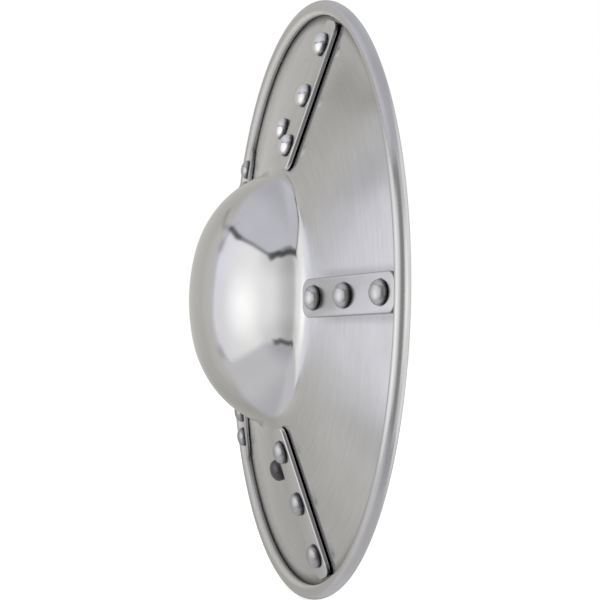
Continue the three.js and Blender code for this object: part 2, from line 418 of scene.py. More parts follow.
class RivetEnd(Enum):
    """Where a rivet sits along its strap."""

    INNER = -1
    MIDDLE = 0
    OUTER = 1

    @property
    def mark(self) -> str:
        """The name under which a strap keeps the rivet's place."""
        return f"rivet_{self.name.lower()}"


@dataclass(frozen=True)
class StrapPlace:
    """How one strap was set by hand.

    Its turn round the shield and its skew are in degrees, its slide and its rivets' slips run outwards, and patina
    and shade say how far its rivets and it have darkened.
    """

    node: str
    turn: float
    skew: float
    patina: float = 0.0
    shade: float = 0.0
    slide: float = 0.0
    slips: tuple[float, float, float] = (0.0, 0.0, 0.0)


@dataclass(frozen=True)
class StrapSizes:
    """A flat strap down the dish. Its heights are over its seat, just off the dish."""

    width: float = 18 * MM
    underside: float = 0.3 * MM
    face: float = 2.4 * MM
    corner_radius: float = 5.5 * MM
    face_edge: float = 0.55 * MM
    back_edge: float = 0.25 * MM
    inner_radius: float = 69 * MM
    outer_radius: float = 143.2 * MM
    rivet_inset: float = 12.15 * MM
    seat: float = 0.25 * MM

    @property
    def length(self) -> float:
        """The length of a strap, down the slope of the dish."""
        return (self.outer_radius - self.inner_radius) / SHEET.down_slope.x

    @property
    def rivet_reach(self) -> float:
        """The distance of the end rivets from the strap's middle."""
        return self.length / 2 - self.rivet_inset

    def place(self, place: StrapPlace) -> Matrix:
        """Find a strap's seat.

        Args:
            place: How the strap was set.

        Returns:
            The seat in the face-up layout, with x along the strap.
        """
        middle = (self.inner_radius + self.outer_radius) / 2 + place.slide
        seat = dish_seat(middle, self.seat, math.radians(place.turn))
        return seat @ Matrix.Rotation(math.radians(place.skew), 4, "Z")


@dataclass(frozen=True)
class RivetSizes:
    """A round-headed rivet, and the seat that its head stands over."""

    head_diameter: float = 11.4 * MM
    head_height: float = 4.35 * MM
    head_fullness: float = 2.1
    girth_height: float = 0.45 * MM
    tuck: float = 0.3 * MM
    shank_diameter: float = 5 * MM
    tail_diameter: float = 8.6 * MM
    tail_height: float = 1.6 * MM
    seat: float = 0.25 * MM


@dataclass(frozen=True)
class GripSizes:
    """The bar across the hollow, its two scales and their pins. Their middle is the frame's origin."""

    offset: float = 4.5 * MM
    width: float = 24 * MM
    thickness: float = 3 * MM
    bend_radius: float = 12 * MM
    bend_place: float = 79.2 * MM
    rivet_place: float = 87.7 * MM
    foot_margin: float = 11 * MM
    foot_corner: float = 8 * MM
    seat: float = 0.25 * MM
    length: float = 116.4 * MM
    middle: float = 13.6228 * MM
    front_depth: float = 8 * MM
    rear_depth: float = 12 * MM
    end_rounding: float = 8 * MM
    end_depth_share: float = 0.82
    tip_share: float = 0.5
    fullness: float = 2.5
    pin_diameter: float = 5 * MM
    pin_dome: float = 0.4 * MM
    pin_inset: float = 18 * MM

    @property
    def bar_face(self) -> float:
        """The height of the bar's front, which its outer edge sets where the hollow dish comes closest."""
        reach = math.hypot(self.bend_place, self.offset + self.width / 2)
        return SHEET.on_dish(reach, -SHEET.thickness - self.seat).z

    @property
    def bar_back(self) -> float:
        """The height of the bar's back."""
        return self.bar_face - self.thickness

    def swell(self, y: float) -> float:
        """Find the share of its middle depth that a scale has at a place along the grip."""
        return self.end_depth_share + (1 - self.end_depth_share) * math.cos(math.pi * y / self.length)

    def tip(self, y: float) -> float:
        """Find the share of its full size that a scale's rounded tip has at a place along the grip."""
        into = max(0.0, abs(y) + self.end_rounding - self.length / 2) / self.end_rounding
        return self.tip_share + (1 - self.tip_share) * math.sqrt(max(0.0, 1 - into**2))


STRAP = StrapSizes()
RIVET = RivetSizes()
GRIP = GripSizes()
STRAP_PLACES = (
    StrapPlace("strap_right", -0.3, 1.7, 0.4, 0.33, -0.5 * MM, (-1.7 * MM, -1.4 * MM, 1.7 * MM)),
    StrapPlace("strap_top", 69.6, 2.3, 0.0, 0.0, 0.0, (-0.3 * MM, -0.5 * MM, -0.3 * MM)),
    StrapPlace("strap_left_upper", 143.1, -0.1, 0.3, 0.0, 0.0, (0.3 * MM, 0.4 * MM, 0.4 * MM)),
    StrapPlace("strap_left_lower", 216.3, 1.9, 0.5, 0.0, 0.0, (-0.3 * MM, 0.2 * MM, 0.4 * MM)),
    StrapPlace("strap_bottom", 288.8, 0.5, 0.5, 0.0, 0.0, (-0.4 * MM, 0.4 * MM, 0.9 * MM)),
)
STANDING = Matrix.Translation((-GRIP.offset, GRIP.middle, 0)) @ Matrix.Rotation(UP, 4, "X")


def dish_seat(radius: float, height: float, turn: float) -> Matrix:
    """Find a seat on the dish, with x down the slope and z square out of the face.

    Args:
        radius: Its distance from the shield's axis.
        height: How far it lies out of the dish's face.
        turn: How far round the shield it lies, in radians.

    Returns:
        The seat, in the face-up layout.
    """
    round_axis = Matrix.Rotation(turn, 4, "Z")
    return round_axis @ Matrix.Translation(SHEET.on_dish(radius, height)) @ Matrix.Rotation(SHEET.dish_angle, 4, "Y")


# Node groups and finishes

Colour = tuple[float, float, float]
# Where a change starts and ends, then what it goes from and to, where that isn't 0 and 1.
Ramp = tuple[float, ...]
# The scale, detail and roughness of a noise pattern.
Noise = tuple[float, float, float]


class Slot(Enum):
    """The record's material slots."""

    SHELL = "shell_steel"
    STRAP = "strap_steel"
    RIVET = "rivet_steel"
    WIRE = "wire_steel"
    BAR = "bar_steel"
    WOOD = "grip_wood"


class NodeSheet:
    """Lays out and wires the nodes of a material, a world or a node group."""

    def __init__(self, tree: NodeTree) -> None:
        """Start on an empty sheet.

        Args:
            tree: The node tree to fill.
        """
        self.tree = tree
        tree.nodes.clear()

    def wire(self, source: Socket, node: Node, name: str) -> None:
        """Wire an output to a node's input."""
        self.tree.links.new(source, node.inputs[name])

    def node(self, kind: str, inputs: dict[str | int, object] | None = None, **settings: object) -> Node:
        """Add a node.

        Args:
            kind: The node's type.
            inputs: What goes into its sockets: another node's output, or a value.
            **settings: The node's own settings.

        Returns:
            The node.
        """
        node = self.tree.nodes.new(kind)
        for name, value in settings.items():
            setattr(node, name, value)
        for key, value in (inputs or {}).items():
            if isinstance(value, Socket):
                self.tree.links.new(value, node.inputs[key])
            else:
                node.inputs[key].default_value = value
        return node

    def math(self, operation: str, *values: object) -> Socket:
        """Work out a number with one of the Math node's operations."""
        return self.node("ShaderNodeMath", dict(enumerate(values)), operation=operation).outputs[0]

    def chain(self, operation: str, *values: object) -> Socket:
        """Join two or more numbers one by one with an operation."""
        return reduce(partial(self.math, operation), values)

    def product(self, *values: object) -> Socket:
        """Multiply two or more numbers."""
        return self.chain("MULTIPLY", *values)

    def rest(self, share: Socket) -> Socket:
        """Find what a share leaves of 1."""
        return self.math("SUBTRACT", 1.0, share)

    def vector(self, operation: str, *values: object) -> Socket:
        """Work out a vector with one of the Vector Math node's operations."""
        return self.node("ShaderNodeVectorMath", dict(enumerate(values)), operation=operation).outputs["Vector"]

    def measure(self, operation: str, *values: object) -> Socket:
        """Work out a number from vectors with one of the Vector Math node's operations."""
        return self.node("ShaderNodeVectorMath", dict(enumerate(values)), operation=operation).outputs["Value"]

    def scaled(self, vector: object, scale: object) -> Socket:
        """Scale a vector by a number."""
        return self.node("ShaderNodeVectorMath", {0: vector, "Scale": scale}, operation="SCALE").outputs[0]

    def split(self, vector: Socket) -> tuple[Socket, Socket, Socket]:
        """Split a vector into x, y and z."""
        parts = self.node("ShaderNodeSeparateXYZ", {0: vector}).outputs
        return parts[0], parts[1], parts[2]

    def join(self, x: object, y: object, z: object) -> Socket:
        """Join x, y and z into a vector."""
        return self.node("ShaderNodeCombineXYZ", {0: x, 1: y, 2: z}).outputs[0]

    def grey(self, value: Socket) -> Socket:
        """Make a number a colour."""
        return self.join(value, value, value)

    def object_place(self) -> Socket:
        """Find where the shaded point lies on its object."""
        return self.node("ShaderNodeTexCoord").outputs["Object"]

    def mark(self, name: str, output: str = "Fac") -> Socket:
        """Read an attribute of the mesh."""
        return self.node("ShaderNodeAttribute", attribute_name=name).outputs[output]

    def ease(
        self, value: Socket, low: float, high: float, first: float = 0.0, last: float = 1.0, at: float = 0.0
    ) -> Socket:
        """Ease smoothly from one number to another while a value goes from low to high.

        Args:
            value: The value that is followed.
            low: Where the change starts.
            high: Where it ends.
            first: The result at low and below.
            last: The result at high and above.
            at: What low and high are measured from.

        Returns:
            The eased number.
        """
        inputs = {"Value": value, "From Min": at + low, "From Max": at + high, "To Min": first, "To Max": last}
        return self.node("ShaderNodeMapRange", inputs, interpolation_type="SMOOTHSTEP").outputs["Result"]

    def blend(self, share: object, first: object, second: object) -> Socket:
        """Blend two numbers by a share."""
        return self.node("ShaderNodeMix", {0: share, 2: first, 3: second}, data_type="FLOAT").outputs[0]

    def tint(self, share: object, first: object, second: object) -> Socket:
        """Blend two colours by a share."""
        first, second = ((*c, 1) if isinstance(c, tuple) else c for c in (first, second))
        return self.node("ShaderNodeMix", {0: share, 6: first, 7: second}, data_type="RGBA").outputs[2]

    def noise(self, vector: Socket, scale: float, detail: float, roughness: float) -> Socket:
        """Add a noise pattern and return its value, from 0 to 1."""
        inputs = {"Vector": vector, "Scale": scale, "Detail": detail, "Roughness": roughness}
        return self.node("ShaderNodeTexNoise", inputs).outputs[0]

    def group(self, effect: NodeTree, **inputs: object) -> Socket:
        """Place a node group.

        Args:
            effect: The group's tree.
            **inputs: What goes into its sockets, in small letters.

        Returns:
            The group's one output.
        """
        named = {key.title(): value for key, value in inputs.items()}
        return self.node("ShaderNodeGroup", named, node_tree=effect).outputs[0]


def new_group(name: str, output: str, **inputs: str) -> tuple[NodeSheet, dict[str, Socket], Node]:
    """Start a node group.

    Args:
        name: The group's name.
        output: The name of its one output, a number.
        **inputs: The type of each named input.

    Returns:
        Its sheet, its inputs by name and its output node.
    """
    tree = bpy.data.node_groups.new(name, "ShaderNodeTree")
    sheet = NodeSheet(tree)
    for socket, kind in inputs.items():
        tree.interface.new_socket(socket, in_out="INPUT", socket_type=f"NodeSocket{kind}")
    tree.interface.new_socket(output, in_out="OUTPUT", socket_type="NodeSocketFloat")
    start = sheet.node("NodeGroupInput")
    return sheet, {socket: start.outputs[socket] for socket in inputs}, sheet.node("NodeGroupOutput")


def new_material(name: str) -> tuple[Material, NodeSheet]:
    """Start a material.

    Args:
        name: The material's name.

    Returns:
        The material and its empty sheet.
    """
    material = bpy.data.materials.new(name)
    material.use_nodes = True
    return material, NodeSheet(material.node_tree)


def turned_marks() -> NodeTree:
    """Make the fine rings that a turned piece gets from its abrasive.

    Returns:
        A group whose Place is centred on the y axis, and whose Height varies across the rings.
    """
    sheet, given, end = new_group("turned_marks", "Height", Place="Vector", Rings="Float", Sweep="Float")
    x, y, z = sheet.split(given["Place"])
    flat = sheet.join(x, 0, z)
    radius = sheet.measure("LENGTH", flat)
    swept = sheet.scaled(sheet.vector("NORMALIZE", flat), given["Sweep"])
    across = sheet.math("MULTIPLY", sheet.math("ADD", radius, y), given["Rings"])
    spot = sheet.vector("ADD", swept, sheet.join(0, across, 0))
    sheet.wire(sheet.noise(spot, scale=1, detail=4, roughness=0.6), end, "Height")
    return sheet.tree


def drawn_marks() -> NodeTree:
    """Make the fine lines that a flat bar gets along its x.

    Returns:
        A group whose Height varies across the lines.
    """
    sheet, given, end = new_group("drawn_marks", "Height", Place="Vector", Lines="Float", Run="Float")
    x, y, z = sheet.split(given["Place"])
    along = sheet.math("MULTIPLY", x, given["Run"])
    across, deep = (sheet.math("MULTIPLY", way, given["Lines"]) for way in (y, z))
    lines = sheet.noise(sheet.join(along, across, deep), scale=1, detail=3, roughness=0.6)
    sheet.wire(lines, end, "Height")
    return sheet.tree


@dataclass(frozen=True)
class StrapDirt:
    """Painted shade along a strap's edges, and in the two corners between its outer end and the roll.

    A corner's painted shade starts short of the strap's end and of its edge, and fans out past it. The faint line of
    painted shade beside the edge starts past the strap's inner end.
    """

    end: Ramp = (-5.5 * MM, -3.5 * MM)
    edge: Ramp = (-5 * MM, -4 * MM)
    fan_slope: float = 0.5
    fan: Ramp = (0.8 * MM, 2.2 * MM, 1.0, 0.0)
    line: Ramp = (0.5 * MM, 5 * MM, 0.3, 0.0)
    line_start: Ramp = (5 * MM, 25 * MM)

    def group(self) -> NodeTree:
        """Make the painted shade's node group.

        Returns:
            A group whose Place is centred on the y axis and whose Turn is the strap's angle round it, and whose Dirt
            goes up to 1 in its two corners.
        """
        sheet, given, end = new_group("corner_dirt", "Dirt", Place="Vector", Turn="Float")
        x, _, z = sheet.split(given["Place"])
        back = {0: sheet.join(x, z, 0), "Angle": sheet.math("MULTIPLY", given["Turn"], -1.0)}
        turned = sheet.node("ShaderNodeVectorRotate", back, rotation_type="Z_AXIS")
        along, across, _ = sheet.split(turned.outputs[0])
        across = sheet.math("ABSOLUTE", across)
        past = sheet.math("SUBTRACT", across, sheet.math("MULTIPLY", along, self.fan_slope))
        half = STRAP.width / 2
        # Painted shade: dark in the two corners between the strap's outer end and the roll
        corner = sheet.product(
            sheet.ease(along, *self.end, at=STRAP.outer_radius),
            sheet.ease(across, *self.edge, at=half),
            sheet.ease(past, *self.fan, at=half - STRAP.outer_radius * self.fan_slope),
        )
        # Painted shade: a faint dark line on the dish beside the strap's edges
        beside = sheet.ease(across, *self.line, at=half)
        line = sheet.product(beside, sheet.ease(along, *self.line_start, at=STRAP.inner_radius))
        sheet.wire(sheet.math("MAXIMUM", corner, line), end, "Dirt")
        return sheet.tree


def handling() -> NodeTree:
    """Make the cloudy unevenness that polishing and handling leave.

    Returns:
        A group whose Cloud goes from 0 to 1 in soft patches.
    """
    sheet, given, end = new_group("handling", "Cloud", Place="Vector", Scale="Float")
    broad = sheet.noise(sheet.scaled(given["Place"], given["Scale"]), scale=1, detail=3, roughness=0.55)
    sheet.wire(sheet.ease(broad, low=0.3, high=0.7), end, "Cloud")
    return sheet.tree


@dataclass(frozen=True)
class Finish:
    """A finish, the record's slot that it goes in, and how small the patches are that handling leaves on it."""

    name: str
    slot: Slot
    patch_scale: float = 120.0

    def start(self, inputs: dict[str, object]) -> tuple[Material, NodeSheet, Node]:
        """Start the material.

        Args:
            inputs: The uniform values of its shader.

        Returns:
            The material, its sheet and its shader.
        """
        material, sheet = new_material(self.name)
        shader = sheet.node("ShaderNodeBsdfPrincipled", inputs)
        sheet.node("ShaderNodeOutputMaterial", {"Surface": shader.outputs[0]})
        return material, sheet, shader

    def cloud(self, sheet: NodeSheet, workshop: "Workshop", place: Socket) -> Socket:
        """Find how far each place is in a soft patch, from 0 to 1."""
        return sheet.group(workshop.handling, place=place, scale=self.patch_scale)

    def bump(self, sheet: NodeSheet, shader: Node, height: Socket, depth: float) -> None:
        """Raise the surface by a height of 0 to 1 times a depth."""
        bump = sheet.node("ShaderNodeBump", {"Height": height, "Distance": depth, "Strength": 1.0})
        sheet.wire(bump.outputs[0], shader, "Normal")

    def material(self, workshop: "Workshop") -> Material:
        """Build the material.

        Args:
            workshop: What holds the shared node groups.

        Returns:
            The material.
        """
        raise NotImplementedError


@dataclass(frozen=True)
class SteelFinish(Finish):
    """Plain steel with fine scratches all ways: its colours where it is bright and dull, and its gloss."""

    bright: Colour = (0.6, 0.6, 0.605)
    dull: Colour = (0.565, 0.56, 0.55)
    roughness: float = 0.22
    swing: float = 0.05
    scratches: Noise = (2200, 3, 0.6)
    scratch_depth: float = 0.01 * MM

    def gloss(self, sheet: NodeSheet, shader: Node, base: object, cloud: Socket) -> None:
        """Vary the roughness about its base in soft patches."""
        swing = sheet.math("MULTIPLY_ADD", cloud, -self.swing, self.swing / 2)
        sheet.wire(sheet.math("ADD", base, swing), shader, "Roughness")

    def material(self, workshop: "Workshop") -> Material:
        """Build the material: its colour and gloss vary in patches, and it is scratched.

        Args:
            workshop: What holds the shared node groups.

        Returns:
            The material.
        """
        material, sheet, shader = self.start({"Metallic": 1.0})
        place = sheet.object_place()
        cloud = self.cloud(sheet, workshop, place)
        self.gloss(sheet, shader, self.roughness, cloud)
        sheet.wire(sheet.tint(cloud, self.dull, self.bright), shader, "Base Color")
        self.bump(sheet, shader, sheet.noise(place, *self.scratches), self.scratch_depth)
        return material


@dataclass(frozen=True)
class TurnedSteel(SteelFinish):
    """The sheet's finish, turned round its axis: a mirror boss, a satin dish, a polished roll and a duller hollow.

    The dish starts about the boss's foot. The roll's inner flank is rubbed dull in front, painted shade lies under
    it and in the groove beside it, and all three are placed from the roll's centre. The shares of the rings are how
    far their relief shows on the boss, the dish and the roll.
    """

    patch_scale: float = 22.0
    boss_roughness: float = 0.12
    dish_roughness: float = 0.17
    roll_roughness: float = 0.27
    flank_roughness: float = 0.5
    hollow_roughness: float = 0.3
    dish_start: Ramp = (-5 * MM, 2 * MM)
    flank_start: Ramp = (-1.02 * SHEET.roll_radius, -0.99 * SHEET.roll_radius)
    flank_end: Ramp = (-0.85 * SHEET.roll_radius, -0.4 * SHEET.roll_radius, 1.0, 0.0)
    flank_front: Ramp = (1.2 * MM, 2 * MM, 0.75, 0.0)
    flank: Colour = (0.72, 0.71, 0.7)
    # Painted shade under the roll's flank, in the groove beside it and in the corners by the straps, and its dark
    # colour
    soot_under: Ramp = (0.3 * MM, 1.5 * MM)
    soot_beside: Ramp = (-10 * MM, -1.2 * SHEET.roll_radius)
    soot_share: float = 0.85
    corner_share: float = 0.93
    soot: Colour = (0.1, 0.095, 0.09)
    facing_back: Ramp = (0.15, 0.5)
    hollow: Colour = (0.46, 0.455, 0.44)
    anisotropy: float = 0.5
    anisotropic_turn: float = 0.25
    rings: float = 420.0
    ring_sweep: float = 5.0
    ring_depth: float = 0.006 * MM
    ring_shares: tuple[float, float, float] = (0.05, 1.0, 0.3)
    streak: Ramp = (0.3, 0.7, 0.0, 0.07)
    streak_colour: Colour = (0.1, 0.1, 0.1)
    waves: Noise = (26, 1, 0.4)
    wave_depth: float = 0.05 * MM

    def material(self, workshop: "Workshop") -> Material:
        """Build the material from the sheet's centre outwards, with its painted shade, streaks and rings.

        Args:
            workshop: What holds the shared node groups.

        Returns:
            The material.
        """
        shine = {"Anisotropic": self.anisotropy, "Anisotropic Rotation": self.anisotropic_turn}
        material, sheet, shader = self.start(shine)
        tangent = sheet.node("ShaderNodeTangent", direction_type="RADIAL", axis="Y")
        sheet.wire(tangent.outputs[0], shader, "Tangent")
        coordinates = sheet.node("ShaderNodeTexCoord").outputs
        centred = {"Vector": coordinates["Object"], "Location": (GRIP.offset, 0, 0)}
        place = sheet.node("ShaderNodeMapping", centred).outputs[0]
        cloud = self.cloud(sheet, workshop, place)
        x, y, z = sheet.split(place)
        radius = sheet.measure("LENGTH", sheet.join(x, 0, z))
        roll_radius, roll_y = SHEET.roll_centre.x, GRIP.middle - SHEET.roll_centre.z

        dish = sheet.ease(radius, *self.dish_start, at=SHEET.foot_radius)
        roll = sheet.ease(radius, -SHEET.roll_radius, -SHEET.roll_bore, at=roll_radius)
        on_flank = sheet.ease(radius, *self.flank_start, at=roll_radius)
        off_flank = sheet.rest(on_flank)
        flank = sheet.ease(radius, *self.flank_end, at=roll_radius)
        worn = sheet.product(flank, on_flank, sheet.ease(y, *self.flank_front, at=roll_y))
        sheet.wire(sheet.rest(worn), shader, "Metallic")
        # Painted shade under the roll's flank and in the groove beside it
        under = sheet.product(flank, sheet.ease(y, *self.soot_under, at=roll_y))
        beside = sheet.ease(radius, *self.soot_beside, at=roll_radius)
        groove = sheet.product(beside, sheet.math("MAXIMUM", off_flank, under), self.soot_share)
        behind = sheet.ease(sheet.split(coordinates["Normal"])[1], *self.facing_back)
        behind = sheet.product(behind, sheet.rest(roll))

        base = sheet.blend(dish, self.boss_roughness, self.dish_roughness)
        base = sheet.blend(roll, base, sheet.blend(flank, self.roll_roughness, self.flank_roughness))
        self.gloss(sheet, shader, sheet.blend(behind, base, self.hollow_roughness), cloud)

        rings = sheet.group(workshop.turned, place=place, rings=self.rings, sweep=self.ring_sweep)
        streaks = sheet.product(sheet.ease(rings, *self.streak), dish)
        steel = sheet.tint(streaks, sheet.tint(cloud, self.dull, self.bright), self.streak_colour)
        # Painted shade in the corners by the straps' outer ends and along their edges, joined with the groove's
        # painted shade
        turns = [math.radians(strap.turn) for strap in STRAP_PLACES]
        painted_shade = sheet.chain("MAXIMUM", *(sheet.group(workshop.corners, place=place, turn=turn) for turn in turns))
        painted_shade = sheet.math("MAXIMUM", groove, sheet.product(painted_shade, off_flank, self.corner_share))
        steel = sheet.tint(painted_shade, sheet.tint(worn, steel, self.flank), self.soot)
        sheet.wire(sheet.tint(behind, steel, self.hollow), shader, "Base Color")

        on_boss, on_dish, on_roll = self.ring_shares
        rings = sheet.product(rings, sheet.blend(roll, sheet.blend(dish, on_boss, on_dish), on_roll))
        waves = sheet.noise(place, *self.waves)
        height = sheet.math("MULTIPLY_ADD", waves, self.wave_depth / self.ring_depth, rings)
        self.bump(sheet, shader, height, self.ring_depth)
        return material


@dataclass(frozen=True)
class DrawnSteel(SteelFinish):
    """The finish of a flat bar, rubbed along its length, with painted shade in a ring where a rivet's head meets it.

    Its sides have painted shade below its face, which shows on the first strap alone: the places of the others are
    shifted.
    """

    patch_scale: float = 60.0
    lines: float = 1500.0
    line_run: float = 40.0
    line_depth: float = 0.005 * MM
    # Painted shade on the sides below the face and in a ring round each rivet's head
    side: Ramp = (-0.9 * MM, -0.4 * MM, 0.7, 0.0)
    ring_start: float = RIVET.head_diameter / 2
    ring_width: float = 0.7 * MM
    ring_patches: Noise = (400, 2, 0.5)
    ring_share: Ramp = (0.3, 0.6, 0.4, 0.9)
    soot: Colour = (0.06, 0.06, 0.06)
    patina: Colour = (0.3, 0.3, 0.305)

    def material(self, workshop: "Workshop") -> Material:
        """Build the material along the bar, with the painted shade on its sides and in rings round its rivets, and
        its lines.

        Args:
            workshop: What holds the shared node groups.

        Returns:
            The material.
        """
        material, sheet, shader = self.start({"Metallic": 1.0})
        place = sheet.mark(PLACE, "Vector")
        cloud = self.cloud(sheet, workshop, place)
        self.gloss(sheet, shader, self.roughness, cloud)
        colour = sheet.tint(cloud, self.dull, self.bright)
        colour = sheet.tint(sheet.mark(PATINA), colour, self.patina)
        x, y, rise = sheet.split(place)
        # Painted shade on the sides below the face
        colour = sheet.tint(sheet.ease(rise, *self.side, at=STRAP.face), colour, self.soot)
        flat = sheet.join(x, y, 0)
        rivets = [sheet.join(sheet.mark(end.mark), 0, 0) for end in RivetEnd]
        near = sheet.chain("MINIMUM", *(sheet.measure("DISTANCE", flat, rivet) for rivet in rivets))
        # Painted shade in a patchy ring round each rivet's head
        ring = sheet.ease(near, 0.0, self.ring_width, 1.0, 0.0, at=self.ring_start)
        ring = sheet.product(ring, sheet.ease(sheet.noise(place, *self.ring_patches), *self.ring_share))
        sheet.wire(sheet.tint(ring, colour, self.soot), shader, "Base Color")
        lines = sheet.group(workshop.drawn, place=place, lines=self.lines, run=self.line_run)
        self.bump(sheet, shader, lines, self.line_depth)
        return material


@dataclass(frozen=True)
class ForgedSteel(SteelFinish):
    """The finish of a rivet: dark from the forge at its foot, rubbed bright on its dome, and dented."""

    patch_scale: float = 160.0
    bright: Colour = (0.76, 0.76, 0.77)
    dull: Colour = (0.68, 0.675, 0.67)
    patina: Colour = (0.09, 0.09, 0.095)
    roughness: float = 0.18
    scale: Colour = (0.1, 0.1, 0.105)
    scale_roughness: float = 0.33
    rubbed: Ramp = (0.0, 2.2 * MM)
    ragged: Noise = (350, 3, 0.6)
    raggedness: float = 2 * MM
    dents: Noise = (260, 1, 0.4)
    dent_depth: float = 0.11 * MM

    def material(self, workshop: "Workshop") -> Material:
        """Build the material from the rivet's foot to its dome, with its dents.

        Args:
            workshop: What holds the shared node groups.

        Returns:
            The material.
        """
        material, sheet, shader = self.start({"Metallic": 1.0})
        place = sheet.object_place()
        _, _, rise = sheet.split(sheet.mark(PLACE, "Vector"))
        rise = sheet.math("SUBTRACT", rise, self.raggedness / 2)
        rise = sheet.math("MULTIPLY_ADD", sheet.noise(place, *self.ragged), self.raggedness, rise)
        rubbed = sheet.ease(rise, *self.rubbed)
        cloud = self.cloud(sheet, workshop, place)
        steel = sheet.tint(cloud, self.dull, self.bright)
        steel = sheet.tint(sheet.mark(PATINA), steel, self.patina)
        sheet.wire(sheet.tint(rubbed, self.scale, steel), shader, "Base Color")
        self.gloss(sheet, shader, sheet.blend(rubbed, self.scale_roughness, self.roughness), cloud)
        self.bump(sheet, shader, sheet.noise(place, *self.dents), self.dent_depth)
        return material


@dataclass(frozen=True)
class OiledWood(Finish):
    """The finish of the grip's scales: a close-grained hardwood, oiled and rubbed by the hand.

    Its rings lie across x, slanted by y and bent by a warp, and its grain runs along z.
    """

    patch_scale: float = 50.0
    coat: float = 0.15
    grain: tuple[float, float, float] = (1, 1, 0.07)
    warp: Noise = (60, 3, 0.6)
    warp_width: float = 9 * MM
    slant: float = 0.35
    rings: float = 420.0
    ring_sharpness: float = 2.2
    ring_share: float = 0.6
    fibres: Noise = (2600, 3, 0.6)
    fibre_share: float = 0.35
    fibre_relief: float = 0.4
    pores: Noise = (1500, 1, 0.5)
    pore_size: Ramp = (0.62, 0.7)
    pore_share: float = 0.7
    relief: float = 0.04 * MM
    early: Colour = (0.2, 0.085, 0.035)
    late: Colour = (0.075, 0.028, 0.012)
    pore: Colour = (0.02, 0.008, 0.004)
    roughness: float = 0.37
    swing: float = 0.1

    def material(self, workshop: "Workshop") -> Material:
        """Build the material from its rings, its fibres and its pores.

        Args:
            workshop: What holds the shared node groups.

        Returns:
            The material.
        """
        material, sheet, shader = self.start({"Coat Weight": self.coat})
        place = sheet.object_place()
        run = sheet.node("ShaderNodeMapping", {"Vector": place, "Scale": self.grain}).outputs[0]
        x, y, _ = sheet.split(run)
        across = sheet.math("MULTIPLY_ADD", y, self.slant, x)
        across = sheet.math("MULTIPLY_ADD", sheet.noise(run, *self.warp), self.warp_width, across)
        ring = sheet.math("FRACT", sheet.math("MULTIPLY", across, self.rings))
        late = sheet.math("MULTIPLY", sheet.math("POWER", ring, self.ring_sharpness), self.ring_share)
        fibres = sheet.noise(run, *self.fibres)
        dark = sheet.math("MULTIPLY_ADD", fibres, self.fibre_share, late)
        pores = sheet.ease(sheet.noise(run, *self.pores), *self.pore_size)
        colour = sheet.tint(dark, self.early, self.late)
        colour = sheet.tint(sheet.math("MULTIPLY", pores, self.pore_share), colour, self.pore)
        sheet.wire(colour, shader, "Base Color")
        cloud = self.cloud(sheet, workshop, place)
        sheet.wire(sheet.math("MULTIPLY_ADD", cloud, self.swing, self.roughness), shader, "Roughness")
        height = sheet.math("MULTIPLY_ADD", fibres, self.fibre_relief, sheet.math("MULTIPLY", pores, -1))
        self.bump(sheet, shader, height, self.relief)
        return material


class Workshop:
    """The node groups and materials that pieces share, each built once."""

    def __init__(self) -> None:
        """Build the node groups."""
        self.turned = turned_marks()
        self.drawn = drawn_marks()
        self.handling = handling()
        self.corners = StrapDirt().group()
        self.materials: dict[Finish, Material] = {}

    def dress(self, finish: Finish, pieces: dict[str, Piece]) -> None:
        """Give pieces a finish and put them in the place of their CAD nodes.

        Args:
            finish: The finish.
            pieces: The pieces, by the node that each stands for.
        """
        if finish not in self.materials:
            self.materials[finish] = finish.material(self)
        for node, piece in pieces.items():
            piece.data.materials.append(self.materials[finish])
            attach(piece, "root")
            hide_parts(node)
            log.info("%s stands for %s in %s, %d faces", piece.name, node, finish.name, len(piece.data.polygons))


# Sub-assemblies


@dataclass
class SubAssembly:
    """Pieces that are made together, kept by their finish and by the CAD node that each stands for."""

    pieces: dict[Finish, dict[str, Piece]] = field(default_factory=dict, init=False)

    def keep(self, finish: Finish, node: str, piece: Piece) -> None:
        """Keep a built piece for its finish."""
        self.pieces.setdefault(finish, {})[node] = piece

    def dress(self, workshop: Workshop) -> None:
        """Give every kept piece its finish."""
        for finish, pieces in self.pieces.items():
            workshop.dress(finish, pieces)


def follow_arc(centre: Vector, radius: float, turn: Sequence[Vector], side: int = 1) -> list[SheetPoint]:
    """Follow the sheet's face round an arc.

    Args:
        centre: The arc's centre.
        radius: Its radius.
        turn: The unit vectors from the centre to its points.
        side: 1 where the face looks away from the centre, -1 where it looks towards it.

    Returns:
        The arc's points.
    """
    return [SheetPoint(centre + radius * way, side * way) for way in turn]


